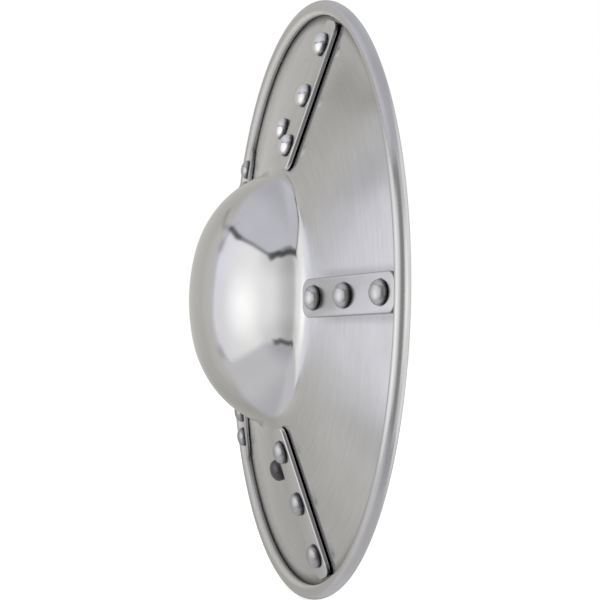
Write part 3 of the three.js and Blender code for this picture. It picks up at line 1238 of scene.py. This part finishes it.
@dataclass
class ShieldSheet(SubAssembly):
    """The one sheet of the shield, rolled at its edge round a wire."""

    turn_steps: int = 256
    crown_steps: int = 10
    shoulder_steps: int = 26
    fillet_steps: int = 7
    fillet_share: float = 0.6
    blend_steps: int = 8
    blend_handle: float = 0.67
    dish_steps: int = 14
    roll_steps: int = 44
    edge_steps: int = 4
    wire_steps: int = 14
    wire_gap: float = math.radians(0.3)
    sheet_finish: Finish = TurnedSteel("turned_shield_steel", Slot.SHELL)
    wire_finish: Finish = SteelFinish("drawn_wire_steel", Slot.WIRE)

    def boss_line(self) -> list[SheetPoint]:
        """Follow the face from the top of the boss to the first part of the fillet at its foot.

        Returns:
            The points of the crown, the shoulder and the fillet.
        """
        wall = SHEET.fillet_centre - SHEET.shoulder_centre
        wall_angle = math.atan2(wall.z, wall.x)
        turned = UP - SHEET.crown_angle
        fillet = wall_angle - math.pi
        fillet_end = fillet + (SHEET.roll_turn[0] - fillet) * self.fillet_share
        shoulder = ways(turned, wall_angle, self.shoulder_steps)[1:]
        hollow = ways(fillet, fillet_end, self.fillet_steps)[1:]
        return [
            *follow_arc(SHEET.crown_centre, SHEET.crown_radius, ways(UP, turned, self.crown_steps)),
            *follow_arc(SHEET.shoulder_centre, SHEET.shoulder_radius, shoulder),
            *follow_arc(SHEET.fillet_centre, SHEET.fillet_radius, hollow, side=-1),
        ]

    def foot_line(self, start: SheetPoint) -> list[SheetPoint]:
        """Ease the fillet out into the dish.

        Args:
            start: The fillet's last point.

        Returns:
            The points after it, down to the straight dish.
        """
        last = SHEET.on_dish(SHEET.foot_radius + SHEET.foot_blend)
        way = Vector((start.out.z, 0, -start.out.x))
        rise = (start.place - last).dot(SHEET.out_of_face)
        meeting = start.place - rise / way.dot(SHEET.out_of_face) * way
        first_hold = start.place.lerp(meeting, self.blend_handle)
        last_hold = last.lerp(meeting, self.blend_handle)
        line = []
        for step in range(1, self.blend_steps + 1):
            on = step / self.blend_steps
            off = 1 - on
            near = off * start.place + on * first_hold
            middle = off * first_hold + on * last_hold
            far = off * last_hold + on * last
            near, far = off * near + on * middle, off * middle + on * far
            way = (far - near).normalized()
            line.append(SheetPoint(off * near + on * far, Vector((-way.z, 0, way.x))))
        return line

    def section(self) -> list[Vector]:
        """Draw the sheet's section: its face out to the free edge of the roll, and its back in again.

        Returns:
            The section's points, from the top of the boss to the top of the hollow under it.
        """
        line = self.boss_line()
        line += self.foot_line(line[-1])
        rolled = follow_arc(SHEET.roll_centre, SHEET.roll_bore, ways(*SHEET.roll_turn, self.roll_steps), side=-1)
        foot = line[-1].place
        line += [
            SheetPoint(foot.lerp(rolled[0].place, step / self.dish_steps), SHEET.out_of_face)
            for step in range(1, self.dish_steps)
        ]
        line += rolled
        edge = line[-1]
        radius = SHEET.thickness / 2
        onward = Vector((edge.out.z, 0, -edge.out.x))
        middle = edge.place - radius * edge.out
        nose = [
            middle + radius * (math.cos(a) * edge.out + math.sin(a) * onward)
            for a in (math.pi * step / self.edge_steps for step in range(1, self.edge_steps))
        ]
        points = [point.place for point in line] + nose + [point.back for point in reversed(line)]
        return [Vector((p.x, 0, max(p.z, 0))) for p in points]

    def build(self) -> None:
        """Spin the sheet from its section, and its wire nearly all the way round, to its two butted ends."""
        sheet = turn_piece("buckler_sheet", self.section(), self.turn_steps)
        wire = start_piece(
            "edge_wire",
            bpy.ops.mesh.primitive_circle_add,
            vertices=self.wire_steps,
            radius=SHEET.wire_diameter / 2,
            fill_type="NGON",
            location=SHEET.roll_centre,
            rotation=(UP, 0, 0),
        )
        spin_round(wire, self.turn_steps // 2, 2 * math.pi - self.wire_gap)
        put(sheet, STANDING)
        put(wire, STANDING @ Matrix.Rotation(-UP + self.wire_gap / 2, 4, "Z"))
        for piece in (sheet, wire):
            smooth(piece)
        self.keep(self.sheet_finish, "shield_shell", sheet)
        self.keep(self.wire_finish, "rim_wire", wire)


@dataclass
class Riveter:
    """Forges rivets and sets them."""

    turn_steps: int = 48
    head_steps: int = 16
    tuck_steps: int = 4
    tail_steps: int = 6
    skirt_share: float = 0.9
    edge: float = 0.12 * MM
    width_play: float = 0.025
    height_play: float = 0.04
    chance: random.Random = field(default_factory=lambda: random.Random(SEED))

    def forge(self, name: str, stack: float) -> Piece:
        """Model a rivet with its head on z = 0 and its skirt down to just over its seat.

        Args:
            name: The pattern's name.
            stack: The thickness that it holds, from under its head to its peened tail.

        Returns:
            The pattern.
        """
        head, shank, tail = RIVET.head_diameter / 2, RIVET.shank_diameter / 2, RIVET.tail_diameter / 2
        foot = -RIVET.seat * self.skirt_share
        power = 2 / RIVET.head_fullness
        dome = RIVET.head_height - RIVET.girth_height
        outline = []
        for step in range(self.head_steps + 1):
            rise = UP * (1 - step / self.head_steps)
            across = max(math.cos(rise), 0) ** power
            outline.append(Vector((head * across, 0, RIVET.girth_height + dome * math.sin(rise) ** power)))
        for step in range(1, self.tuck_steps + 1):
            dip = UP * step / self.tuck_steps
            inwards = RIVET.tuck * (1 - math.cos(dip))
            outline.append(Vector((head - inwards, 0, foot + (RIVET.girth_height - foot) * (1 - math.sin(dip)))))
        outline += [Vector((shank, 0, foot)), Vector((shank, 0, -stack)), Vector((tail - self.edge, 0, -stack))]
        outline += [
            Vector((tail * math.cos(a), 0, -stack - self.edge - (RIVET.tail_height - self.edge) * math.sin(a)))
            for a in (UP * step / self.tail_steps for step in range(self.tail_steps + 1))
        ]
        rivet = turn_piece(name, outline, self.turn_steps)
        mark_places(rivet)
        smooth(rivet)
        return rivet

    def set(self, pattern: Piece, name: str, seat: Matrix, patina: float) -> Piece:
        """Set a copy of a rivet on a seat, turned by chance and a little wider or higher than the last.

        Args:
            pattern: The rivet to copy.
            name: The copy's name.
            seat: The seat, in the face-up layout.
            patina: How far it has darkened, from 0 to 1.

        Returns:
            The rivet that was set.
        """
        rivet = copy_piece(pattern, name)
        turn = Matrix.Rotation(self.chance.uniform(0, 2 * math.pi), 4, "Z")
        wide = 1 + self.chance.uniform(-self.width_play, self.width_play)
        high = 1 + self.chance.uniform(-self.height_play, self.height_play)
        put(rivet, STANDING @ seat @ turn @ Matrix.Diagonal((wide, wide, high, 1)))
        mark_value(rivet, PATINA, patina)
        return rivet


@dataclass
class FaceStraps(SubAssembly):
    """The five flat straps down the dish, with three rivets each."""

    corner_steps: int = 10
    face_edge_steps: int = 3
    back_edge_steps: int = 2
    riveter: Riveter = field(default_factory=Riveter)
    strap_finish: Finish = DrawnSteel("drawn_strap_steel", Slot.STRAP)
    rivet_finish: Finish = ForgedSteel("forged_rivet_steel", Slot.RIVET)

    def forge(self) -> Piece:
        """Model one strap along x, with round corners and dressed edges.

        Returns:
            The pattern, with its underside just over the dish.
        """
        depth = STRAP.face - STRAP.underside
        middle = (STRAP.face + STRAP.underside) / 2
        strap = start_piece(
            "strap_pattern",
            bpy.ops.mesh.primitive_cube_add,
            size=1,
            scale=(STRAP.length, STRAP.width, depth),
            location=(0, 0, middle),
        )
        bevels = (
            (lambda a, b: abs(a.z - b.z) > depth / 2, STRAP.corner_radius, self.corner_steps),
            (lambda a, b: min(a.z, b.z) > middle, STRAP.face_edge, self.face_edge_steps),
            (lambda a, b: max(a.z, b.z) < middle, STRAP.back_edge, self.back_edge_steps),
        )
        with editing(strap):
            for wanted, offset, segments in bevels:
                select_edges(strap, wanted)
                bpy.ops.mesh.bevel(offset=offset, segments=segments, affect="EDGES")
        return strap

    def build(self) -> None:
        """Set the straps on the dish and rivet them."""
        pattern = self.forge()
        rivet_pattern = self.riveter.forge("strap_rivet_pattern", SHEET.thickness + STRAP.face + 3 * STRAP.seat)
        for index, place in enumerate(STRAP_PLACES):
            seat = STRAP.place(place)
            strap = copy_piece(pattern, f"{place.node}_plate")
            mark_places(strap, index)
            mark_value(strap, PATINA, place.shade)
            put(strap, STANDING @ seat)
            smooth(strap)
            self.keep(self.strap_finish, place.node, strap)
            for end, slip in zip(RivetEnd, place.slips):
                along = end.value * STRAP.rivet_reach + slip
                mark_value(strap, end.mark, along)
                on_strap = seat @ Matrix.Translation((along, 0, STRAP.face + RIVET.seat))
                node = f"{place.node}_{end.mark}"
                rivet = self.riveter.set(rivet_pattern, f"{node}_dome", on_strap, place.patina)
                self.keep(self.rivet_finish, node, rivet)
        discard(pattern)
        discard(rivet_pattern)


@dataclass
class HandGrip(SubAssembly):
    """The bar, its wood scales and pins, and the two rivets that hold it to the dish. Creases are in degrees."""

    bend_steps: int = 6
    foot_steps: int = 8
    bar_edge: float = 0.4 * MM
    bar_edge_steps: int = 2
    bar_crease: float = 50
    section_steps: int = 28
    stations: int = 56
    scale_crease: float = 50
    pin_dome_steps: int = 5
    pin_turn_steps: int = 32
    place: Matrix = field(default_factory=lambda: Matrix.Translation((GRIP.offset, 0, 0)))
    patinas: tuple[float, float] = (1.0, 0.0)
    riveter: Riveter = field(default_factory=Riveter)
    bar_finish: Finish = DrawnSteel("drawn_bar_steel", Slot.BAR)
    wood_finish: Finish = OiledWood("oiled_grip_wood", Slot.WOOD)
    pin_finish: Finish = SteelFinish("pin_steel", Slot.RIVET)
    rivet_finish: Finish = ForgedSteel("forged_rivet_steel", Slot.RIVET)

    def build_bar(self) -> None:
        """Model the bar from its side view, drawn out across it, with round ends and dressed edges."""
        bend = GRIP.bend_place - GRIP.bend_radius * math.tan(SHEET.dish_angle / 2)
        centre = Vector((bend, 0, GRIP.bar_face - GRIP.bend_radius))
        foot = (GRIP.rivet_place + GRIP.foot_margin - GRIP.bend_place) / SHEET.down_slope.x
        corner = Vector((GRIP.bend_place, 0, GRIP.bar_face)) + foot * SHEET.down_slope
        turn = ways(UP, UP - SHEET.dish_angle, self.bend_steps)
        face = [centre + GRIP.bend_radius * way for way in turn] + [corner]
        back = [centre + (GRIP.bend_radius - GRIP.thickness) * way for way in turn]
        back.append(corner - GRIP.thickness * SHEET.out_of_face)
        side = face + back[::-1] + [Vector((-p.x, 0, p.z)) for p in back + face[::-1]]
        bar = draw_line("grip_bar_steel", [Vector((GRIP.width / 2, p.x, p.z)) for p in side])
        with editing(bar):
            fill_line()
            bpy.ops.mesh.extrude_region_move(TRANSFORM_OT_translate={"value": (-GRIP.width, 0, 0)})
            face_outwards()
            tip = abs(corner.x) - GRIP.thickness
            select_edges(bar, lambda a, b: min(abs(a.y), abs(b.y)) > tip and abs(a.x - b.x) < MM)
            bpy.ops.mesh.bevel(offset=GRIP.foot_corner, segments=self.foot_steps, affect="EDGES")
            bpy.ops.mesh.select_all(action="DESELECT")
            bpy.ops.mesh.edges_select_sharp(sharpness=math.radians(self.bar_crease))
            bpy.ops.mesh.bevel(offset=self.bar_edge, segments=self.bar_edge_steps, affect="EDGES")
        mark_places(bar)
        put(bar, STANDING @ self.place)
        smooth(bar)
        self.keep(self.bar_finish, "grip_bar", bar)

    def build_scale(self, side: str, depth: float, seat: Matrix) -> None:
        """Shape a wood scale along y from its half-round section, drawn out station by station.

        Args:
            side: Its side of the bar, front or rear.
            depth: How far its back stands off the bar at its middle.
            seat: Where its flat lies on the grip.
        """
        power = 2 / GRIP.fullness
        half = GRIP.length / 2
        ys = [-half * math.cos(math.pi * step / self.stations) for step in range(self.stations + 1)]
        sizes = [(GRIP.tip(y), GRIP.tip(y) * GRIP.swell(y)) for y in ys]
        section = []
        for step in range(self.section_steps + 1):
            a = math.pi * step / self.section_steps
            across = math.copysign(abs(math.cos(a)) ** power, math.cos(a)) * GRIP.width / 2
            section.append(Vector((across * sizes[0][0], ys[0], max(math.sin(a), 0) ** power * depth * sizes[0][1])))
        scale = draw_line(f"grip_wood_{side}", section)
        with editing(scale):
            fill_line()
            for here, there, old, new in zip(ys, ys[1:], sizes, sizes[1:]):
                bpy.ops.mesh.extrude_region_move(TRANSFORM_OT_translate={"value": (0, there - here, 0)})
                share = (new[0] / old[0], 1, new[1] / old[1])
                bpy.ops.transform.resize(value=share, center_override=(0, there, 0))
            face_outwards()
        put(scale, STANDING @ (self.place @ seat))
        smooth(scale, self.scale_crease)
        self.keep(self.wood_finish, f"grip_scale_{side}", scale)

    def build_pin(self, place: str, y: float) -> None:
        """Turn a pin through both scales and the bar, domed a little at each end.

        Args:
            place: The name of its place along the grip.
            y: That place.
        """
        top = GRIP.bar_face + GRIP.seat + GRIP.front_depth * GRIP.swell(y)
        bottom = GRIP.bar_back - GRIP.seat - GRIP.rear_depth * GRIP.swell(y)
        radius = GRIP.pin_diameter / 2
        angles = [UP * step / self.pin_dome_steps for step in range(self.pin_dome_steps + 1)]
        outline = [Vector((radius * math.sin(a), 0, top + GRIP.pin_dome * math.cos(a))) for a in angles]
        outline += [Vector((radius * math.cos(a), 0, bottom - GRIP.pin_dome * math.sin(a))) for a in angles]
        pin = turn_piece(f"grip_pin_{place}_steel", outline, self.pin_turn_steps)
        put(pin, STANDING @ self.place @ Matrix.Translation((0, y, 0)))
        smooth(pin)
        self.keep(self.pin_finish, f"grip_pin_{place}", pin)

    def build_rivets(self) -> None:
        """Set the two rivets that hold the ends of the bar."""
        drop = (SHEET.on_dish(GRIP.bend_place).z - GRIP.bar_face) * SHEET.down_slope.x
        pattern = self.riveter.forge("grip_rivet_pattern", drop + GRIP.thickness + 2 * GRIP.seat)
        for side, place, patina in zip((-1, 1), ("lower", "upper"), self.patinas):
            turn = math.atan2(side * GRIP.rivet_place, GRIP.offset)
            seat = dish_seat(math.hypot(GRIP.rivet_place, GRIP.offset), GRIP.seat, turn)
            node = f"grip_rivet_{place}"
            self.keep(self.rivet_finish, node, self.riveter.set(pattern, f"{node}_dome", seat, patina))
        discard(pattern)

    def build(self) -> None:
        """Make the whole grip."""
        over = Matrix.Translation((0, 0, GRIP.bar_face + GRIP.seat))
        under = Matrix.Translation((0, 0, GRIP.bar_back - GRIP.seat)) @ Matrix.Rotation(math.pi, 4, "Y")
        self.build_bar()
        self.build_scale("front", GRIP.front_depth, over)
        self.build_scale("rear", GRIP.rear_depth, under)
        reach = GRIP.length / 2 - GRIP.pin_inset
        for place, y in (("lower", -reach), ("middle", 0.0), ("upper", reach)):
            self.build_pin(place, y)
        self.build_rivets()


# Studio


@dataclass(frozen=True)
class PhotoCamera:
    """The camera as the shield's outline and rivets in the photograph place it. Angles are in degrees."""

    azimuth: float = 74.078
    elevation: float = -1.478
    roll: float = 0.735
    distance: float = 700.5 * MM
    slide_right: float = -4.92 * MM
    slide_up: float = -0.21 * MM
    lens: float = 80.7
    sensor: float = 36.0

    def build(self) -> None:
        """Make the scene's camera."""
        a, e, roll = (math.radians(x) for x in (self.azimuth, self.elevation, self.roll))
        back = Vector((math.sin(a) * math.cos(e), -math.cos(a) * math.cos(e), math.sin(e)))
        right = Vector((math.cos(a), math.sin(a), 0))
        up = back.cross(right)
        eye = back * self.distance + right * self.slide_right + up * self.slide_up
        right, up = (
            right * math.cos(roll) + up * math.sin(roll),
            up * math.cos(roll) - right * math.sin(roll),
        )
        camera = bpy.data.objects.new("photo_camera", bpy.data.cameras.new("photo_camera"))
        bpy.context.scene.collection.objects.link(camera)
        camera.data.lens = self.lens
        camera.data.sensor_width = self.sensor
        turned = Matrix((right, up, back)).transposed().to_4x4()
        camera.matrix_world = Matrix.Translation(eye + Vector((-GRIP.offset, GRIP.middle, 0))) @ turned
        bpy.context.scene.camera = camera


@dataclass(frozen=True)
class TentCloth:
    """The light on the inside of the tent, by the place on its walls.

    The wall ahead of the boss holds a bright panel between two seams. The wall on the right holds the dark opening
    that the camera looks through, with a lamp beside it. On these walls x runs to the right, y back from the wall
    ahead, and z up. A wall's own ramp is measured from where it stands.
    """

    # Where the walls stand
    half: tuple[float, float, float] = (0.32, 0.3, 0.32)
    wall_ahead: Ramp = (0.001, 0.002, 1.0, 0.0)
    other_wall: Ramp = (-0.002, -0.001)

    # The plain cloth
    upper: Colour = (0.8, 0.8, 0.87)
    lower: Colour = (0.83, 0.83, 0.87)
    lower_right: Colour = (0.6, 0.6, 0.64)
    corner: Colour = (0.735, 0.722, 0.7)
    left: Colour = (0.64, 0.627, 0.6)
    to_right: Ramp = (0.12, 0.29)
    to_upper: Ramp = (-0.05, 0.15)
    to_corner: Ramp = (-0.3, -0.2, 1.0, 0.0)
    from_left: Ramp = (-0.3, -0.19)
    dark_ends: Ramp = (-0.2, -0.05, 0.0, 0.2)
    left_low: Ramp = (-0.15, -0.02, 0.17, 0.0)
    left_low_back: Ramp = (-0.2, -0.08, 0.2, 1.0)
    left_back: Ramp = (0.0, 0.036, 1.0, 0.7)
    rear: Ramp = (-0.05, 0.1, 0.7, 1.15)

    # The panel's light
    panel_cool: Colour = (1.1, 1.1, 1.19)
    panel_bright: Colour = (1.28, 1.28, 1.27)
    to_bright: Ramp = (-0.2, 0.1)
    hot_place: tuple[float, float, float] = (0.05, -0.03, 0)
    hot: Ramp = (0.0, 0.16, 0.4, 0.0)
    panel_right: float = 0.235
    to_strip: Ramp = (-0.12, 0.03)
    strip: tuple[float, float] = (1.2, 0.75)
    fall: Ramp = (0.06, 0.2, 0.0, 0.2)
    fall_start: Ramp = (0.08, 0.2)

    # The panel's edges
    panel_left: float = -0.217
    lean_above: float = 0.16
    lean_below: tuple[float, float] = (-0.5, -0.03)
    left_edge: Ramp = (-0.003, 0.003)
    top_edge: Ramp = (-0.003, 0.001, 1.0, 0.0)
    bottom_edge: Ramp = (-0.03, 0.008)
    bottom: Ramp = (0.15, 0.31, -0.208, -0.285)

    # The opening, and the lamp beside it
    opening: tuple[float, float] = (-0.17, 0.037)
    opening_height: float = 0.28
    opening_start: Ramp = (-0.004, 0.004)
    opening_end: Ramp = (-0.006, 0.006)
    opening_top: Ramp = (-0.005, 0.005, 1.0, 0.0)
    opening_light: Colour = (0.33, 0.33, 0.33)
    lamp_place: tuple[float, float, float] = (0.17, 0, 0)
    lamp: Ramp = (0.0, 0.22, 1.6, 0.8)

    # The fold left of the panel
    fold_sides: tuple[Ramp, Ramp] = ((-0.27, -0.21, 0.0, 0.27), (-0.19, -0.14, 1.0, 0.0))
    fold_heights: tuple[Ramp, Ramp] = ((0.12, 0.15), (0.17, 0.21, 1.0, 0.0))

    # The seams: over the panel, under it and on its left
    seam_blur: Ramp = (0.5, 1.3, 1.0, 0.0)
    wobble: Noise = (14, 2, 0.5)
    wobble_height: float = 0.008
    sag: Ramp = (-0.24, -0.04, 0.258, 0.221)
    lift: Ramp = (0.21, 0.31, 0.0, 0.07)
    pulled: Ramp = (0.18, 0.23)
    pulled_width: float = 0.023
    pulled_darkness: float = 0.22
    top_width: Ramp = (-0.08, -0.02, 0.018, 0.012)
    top_darkness: Ramp = (-0.08, -0.02, 0.88, 0.66)
    top_start: Ramp = (-0.24, -0.2, 0.35, 1.0)
    top_back: Ramp = (-0.2, -0.16, 1.0, 0.0)
    bottom_width: float = 0.026
    bottom_start: Ramp = (0.22, 0.26)
    bottom_back: Ramp = (-0.21, -0.19, 0.8, 0.0)
    left_width: float = 0.005
    left_darkness: Ramp = (0.0, 0.05, 0.0, 0.25)

    def walls(self, sheet: NodeSheet, x: Socket, y: Socket, z: Socket) -> Socket:
        """Lay out the plain cloth.

        Args:
            sheet: The sheet of the cloth's material.
            x: The place from left to right.
            y: The place from the wall ahead to the rear.
            z: The height.

        Returns:
            The light's colour.
        """
        colour = sheet.tint(sheet.ease(x, *self.to_right), self.lower, self.lower_right)
        colour = sheet.tint(sheet.ease(z, *self.to_upper), colour, self.upper)
        ends = sheet.ease(sheet.math("ABSOLUTE", z), *self.other_wall, at=self.half[2])
        colour = sheet.scaled(colour, sheet.rest(sheet.product(ends, sheet.ease(y, *self.dark_ends))))
        low = sheet.product(sheet.ease(z, *self.left_low), sheet.ease(y, *self.left_low_back))
        left = sheet.scaled(self.left, sheet.product(sheet.rest(low), sheet.ease(y, *self.left_back)))
        left = sheet.tint(sheet.ease(y, *self.to_corner), left, self.corner)
        return sheet.tint(sheet.ease(x, *self.from_left), left, colour)

    def panel(self, sheet: NodeSheet, x: Socket, y: Socket, z: Socket) -> Socket:
        """Lay out the panel: cool on its left, hot in its middle, and a strip that fades along the right wall.

        Args:
            sheet: The sheet of the cloth's material.
            x: The place from left to right.
            y: The place from the wall ahead to the rear.
            z: The height.

        Returns:
            The light's colour.
        """
        panel = sheet.tint(sheet.ease(x, *self.to_bright), self.panel_cool, self.panel_bright)
        hot = sheet.ease(sheet.measure("DISTANCE", sheet.join(x, z, 0), self.hot_place), *self.hot)
        panel = sheet.vector("ADD", panel, sheet.grey(hot))
        along = sheet.math("SUBTRACT", sheet.math("ADD", x, y), self.panel_right - self.half[1])
        strip_length = self.half[0] - self.panel_right + self.opening[0] + self.half[1]
        strip = sheet.grey(sheet.ease(along, 0.0, strip_length, *self.strip))
        panel = sheet.tint(sheet.ease(along, *self.to_strip), panel, strip)
        fall = sheet.ease(sheet.math("ABSOLUTE", z), *self.fall)
        return sheet.scaled(panel, sheet.rest(sheet.product(fall, sheet.ease(x, *self.fall_start))))

    def seam(self, sheet: NodeSheet, off: Socket, half_width: object, darkness: Socket) -> Socket:
        """Find the share of light that a seam leaves at a distance from its middle."""
        across = sheet.math("DIVIDE", sheet.math("ABSOLUTE", off), half_width)
        return sheet.rest(sheet.product(sheet.ease(across, *self.seam_blur), darkness))

    def top_seam(self, sheet: NodeSheet, x: Socket, y: Socket) -> tuple[Socket, Socket, Socket]:
        """Draw the seam over the panel, which sags to the left and is pulled up on the right.

        Args:
            sheet: The sheet of the cloth's material.
            x: The place from left to right.
            y: The place from the wall ahead to the rear.

        Returns:
            Its height, half its width and its darkness.
        """
        wobble = sheet.noise(sheet.join(x, y, 0), *self.wobble)
        wobble = sheet.math("MULTIPLY_ADD", wobble, self.wobble_height, -self.wobble_height / 2)
        height = sheet.chain("ADD", sheet.ease(x, *self.sag), sheet.ease(x, *self.lift), wobble)
        pulled = sheet.ease(x, *self.pulled)
        half_width = sheet.math("MULTIPLY_ADD", pulled, self.pulled_width, sheet.ease(x, *self.top_width))
        darkness = sheet.math("MULTIPLY_ADD", pulled, self.pulled_darkness, sheet.ease(x, *self.top_darkness))
        ends = sheet.product(sheet.ease(x, *self.top_start), sheet.ease(y, *self.top_back))
        return height, half_width, sheet.product(darkness, ends)

    def light(self, sheet: NodeSheet) -> Socket:
        """Lay out the light of every wall.

        Args:
            sheet: The sheet of the cloth's material.

        Returns:
            The light's colour.
        """
        x, y, z = sheet.split(sheet.object_place())
        high = sheet.math("ABSOLUTE", z)
        ahead = sheet.ease(y, *self.wall_ahead, at=-self.half[1])
        right = sheet.ease(x, *self.other_wall, at=self.half[0])
        behind = sheet.ease(y, *self.other_wall, at=self.half[1])

        top, top_half, top_darkness = self.top_seam(sheet, x, y)
        over = sheet.math("SUBTRACT", z, top)
        under = sheet.math("SUBTRACT", z, sheet.ease(x, *self.bottom))
        lean = sheet.math("MULTIPLY_ADD", z, *self.lean_below)
        lean = sheet.math("MAXIMUM", sheet.math("MULTIPLY", z, self.lean_above), lean)
        off_left = sheet.math("SUBTRACT", x, sheet.math("ADD", lean, self.panel_left))
        inside = sheet.product(
            sheet.math("MAXIMUM", ahead, right),
            sheet.ease(off_left, *self.left_edge),
            sheet.ease(over, *self.top_edge),
            sheet.ease(under, *self.bottom_edge),
        )
        colour = sheet.tint(inside, self.walls(sheet, x, y, z), self.panel(sheet, x, y, z))

        lamp = sheet.ease(sheet.measure("DISTANCE", sheet.join(y, z, 0), self.lamp_place), *self.lamp)
        beside = sheet.product(right, sheet.ease(y, *self.opening_end, at=self.opening[1]))
        colour = sheet.tint(beside, colour, sheet.grey(lamp))
        opening = sheet.product(
            right,
            sheet.ease(y, *self.opening_start, at=self.opening[0]),
            sheet.ease(y, *self.opening_end, 1.0, 0.0, at=self.opening[1]),
            sheet.ease(high, *self.opening_top, at=self.opening_height),
        )
        colour = sheet.tint(opening, colour, self.opening_light)
        colour = sheet.tint(behind, colour, sheet.grey(sheet.ease(x, *self.rear)))

        sides = [sheet.ease(x, *side) for side in self.fold_sides]
        heights = [sheet.ease(high, *height) for height in self.fold_heights]
        colour = sheet.scaled(colour, sheet.rest(sheet.product(ahead, *sides, *heights)))
        bottom_darkness = sheet.product(sheet.ease(x, *self.bottom_start), sheet.ease(y, *self.bottom_back))
        left_darkness = sheet.product(ahead, sheet.ease(z, *self.left_darkness))
        seams = sheet.product(
            self.seam(sheet, over, top_half, top_darkness),
            self.seam(sheet, under, self.bottom_width, bottom_darkness),
            self.seam(sheet, off_left, self.left_width, left_darkness),
        )
        return sheet.scaled(colour, seams)

    def material(self) -> Material:
        """Make the cloth, which only gives light.

        Returns:
            Its material.
        """
        material, sheet = new_material("light_tent")
        light = sheet.node("ShaderNodeEmission", {"Color": self.light(sheet), "Strength": 1.0})
        sheet.node("ShaderNodeOutputMaterial", {"Surface": light.outputs[0]})
        material.cycles.emission_sampling = "NONE"
        return material


@dataclass
class Studio:
    """A light tent that shows only in the steel, on a pale floor before a plain white backdrop."""

    cloth: TentCloth = TentCloth()
    camera: PhotoCamera = PhotoCamera()
    white: tuple[float, float, float, float] = (1, 1, 1, 1)
    soft_light: float = 0.8
    floor_size: float = 6.0
    floor_steps: int = 96
    floor_colour: tuple[float, float, float, float] = (0.85, 0.85, 0.85, 1)
    floor_glow: float = 0.55

    def build_tent(self) -> None:
        """Put up the tent round the shield."""
        size = [2 * half for half in self.cloth.half]
        tent = start_piece("light_tent", bpy.ops.mesh.primitive_cube_add, size=1, scale=size)
        with editing(tent):
            bpy.ops.mesh.select_all(action="SELECT")
            bpy.ops.mesh.flip_normals()
        for way in ("camera", "diffuse", "transmission", "volume_scatter", "shadow"):
            setattr(tent, f"visible_{way}", False)
        tent.data.materials.append(self.cloth.material())
        tent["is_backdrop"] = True

    def build_world(self) -> None:
        """Make the backdrop white for the camera, and soft for everything that isn't steel."""
        world = bpy.data.worlds.new("soft_light")
        bpy.context.scene.world = world
        world.use_nodes = True
        world.cycles_visibility.glossy = False
        sheet = NodeSheet(world.node_tree)
        soft, plain = (
            sheet.node("ShaderNodeBackground", {"Color": self.white, "Strength": strength}).outputs[0]
            for strength in (self.soft_light, 1.0)
        )
        seen = sheet.node("ShaderNodeLightPath").outputs["Is Camera Ray"]
        mixed = sheet.node("ShaderNodeMixShader", {0: seen, 1: soft, 2: plain})
        sheet.node("ShaderNodeOutputWorld", {"Surface": mixed.outputs[0]})

    def build_floor(self, height: float) -> None:
        """Lay a pale floor that reflections pass through to the tent.

        Args:
            height: The floor's height.
        """
        floor = start_piece(
            "pale_floor",
            bpy.ops.mesh.primitive_circle_add,
            vertices=self.floor_steps,
            radius=self.floor_size,
            fill_type="NGON",
            location=(0, 0, height),
        )
        floor.visible_glossy = False
        material, sheet = new_material("pale_floor")
        looks = {
            "Base Color": self.floor_colour,
            "Roughness": 1.0,
            "Specular IOR Level": 0.0,
            "Emission Color": self.white,
            "Emission Strength": self.floor_glow,
        }
        shader = sheet.node("ShaderNodeBsdfPrincipled", looks)
        sheet.node("ShaderNodeOutputMaterial", {"Surface": shader.outputs[0]})
        floor.data.materials.append(material)
        floor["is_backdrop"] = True

    def build(self) -> None:
        """Set the camera, the light and the floor."""
        self.camera.build()
        self.build_world()
        self.build_tent()
        self.build_floor(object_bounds()[0].z)
        bpy.context.scene.view_settings.view_transform = "Standard"


def main() -> None:
    """Build and dress the sub-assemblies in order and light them."""
    logging.basicConfig(level=logging.INFO, format="%(name)s: %(message)s")
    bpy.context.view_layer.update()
    workshop = Workshop()
    for assembly in (ShieldSheet(), FaceStraps(), HandGrip()):
        log.info("building %s", type(assembly).__name__)
        assembly.build()
        assembly.dress(workshop)
    Studio().build()


if __name__ == "__main__":
    main()
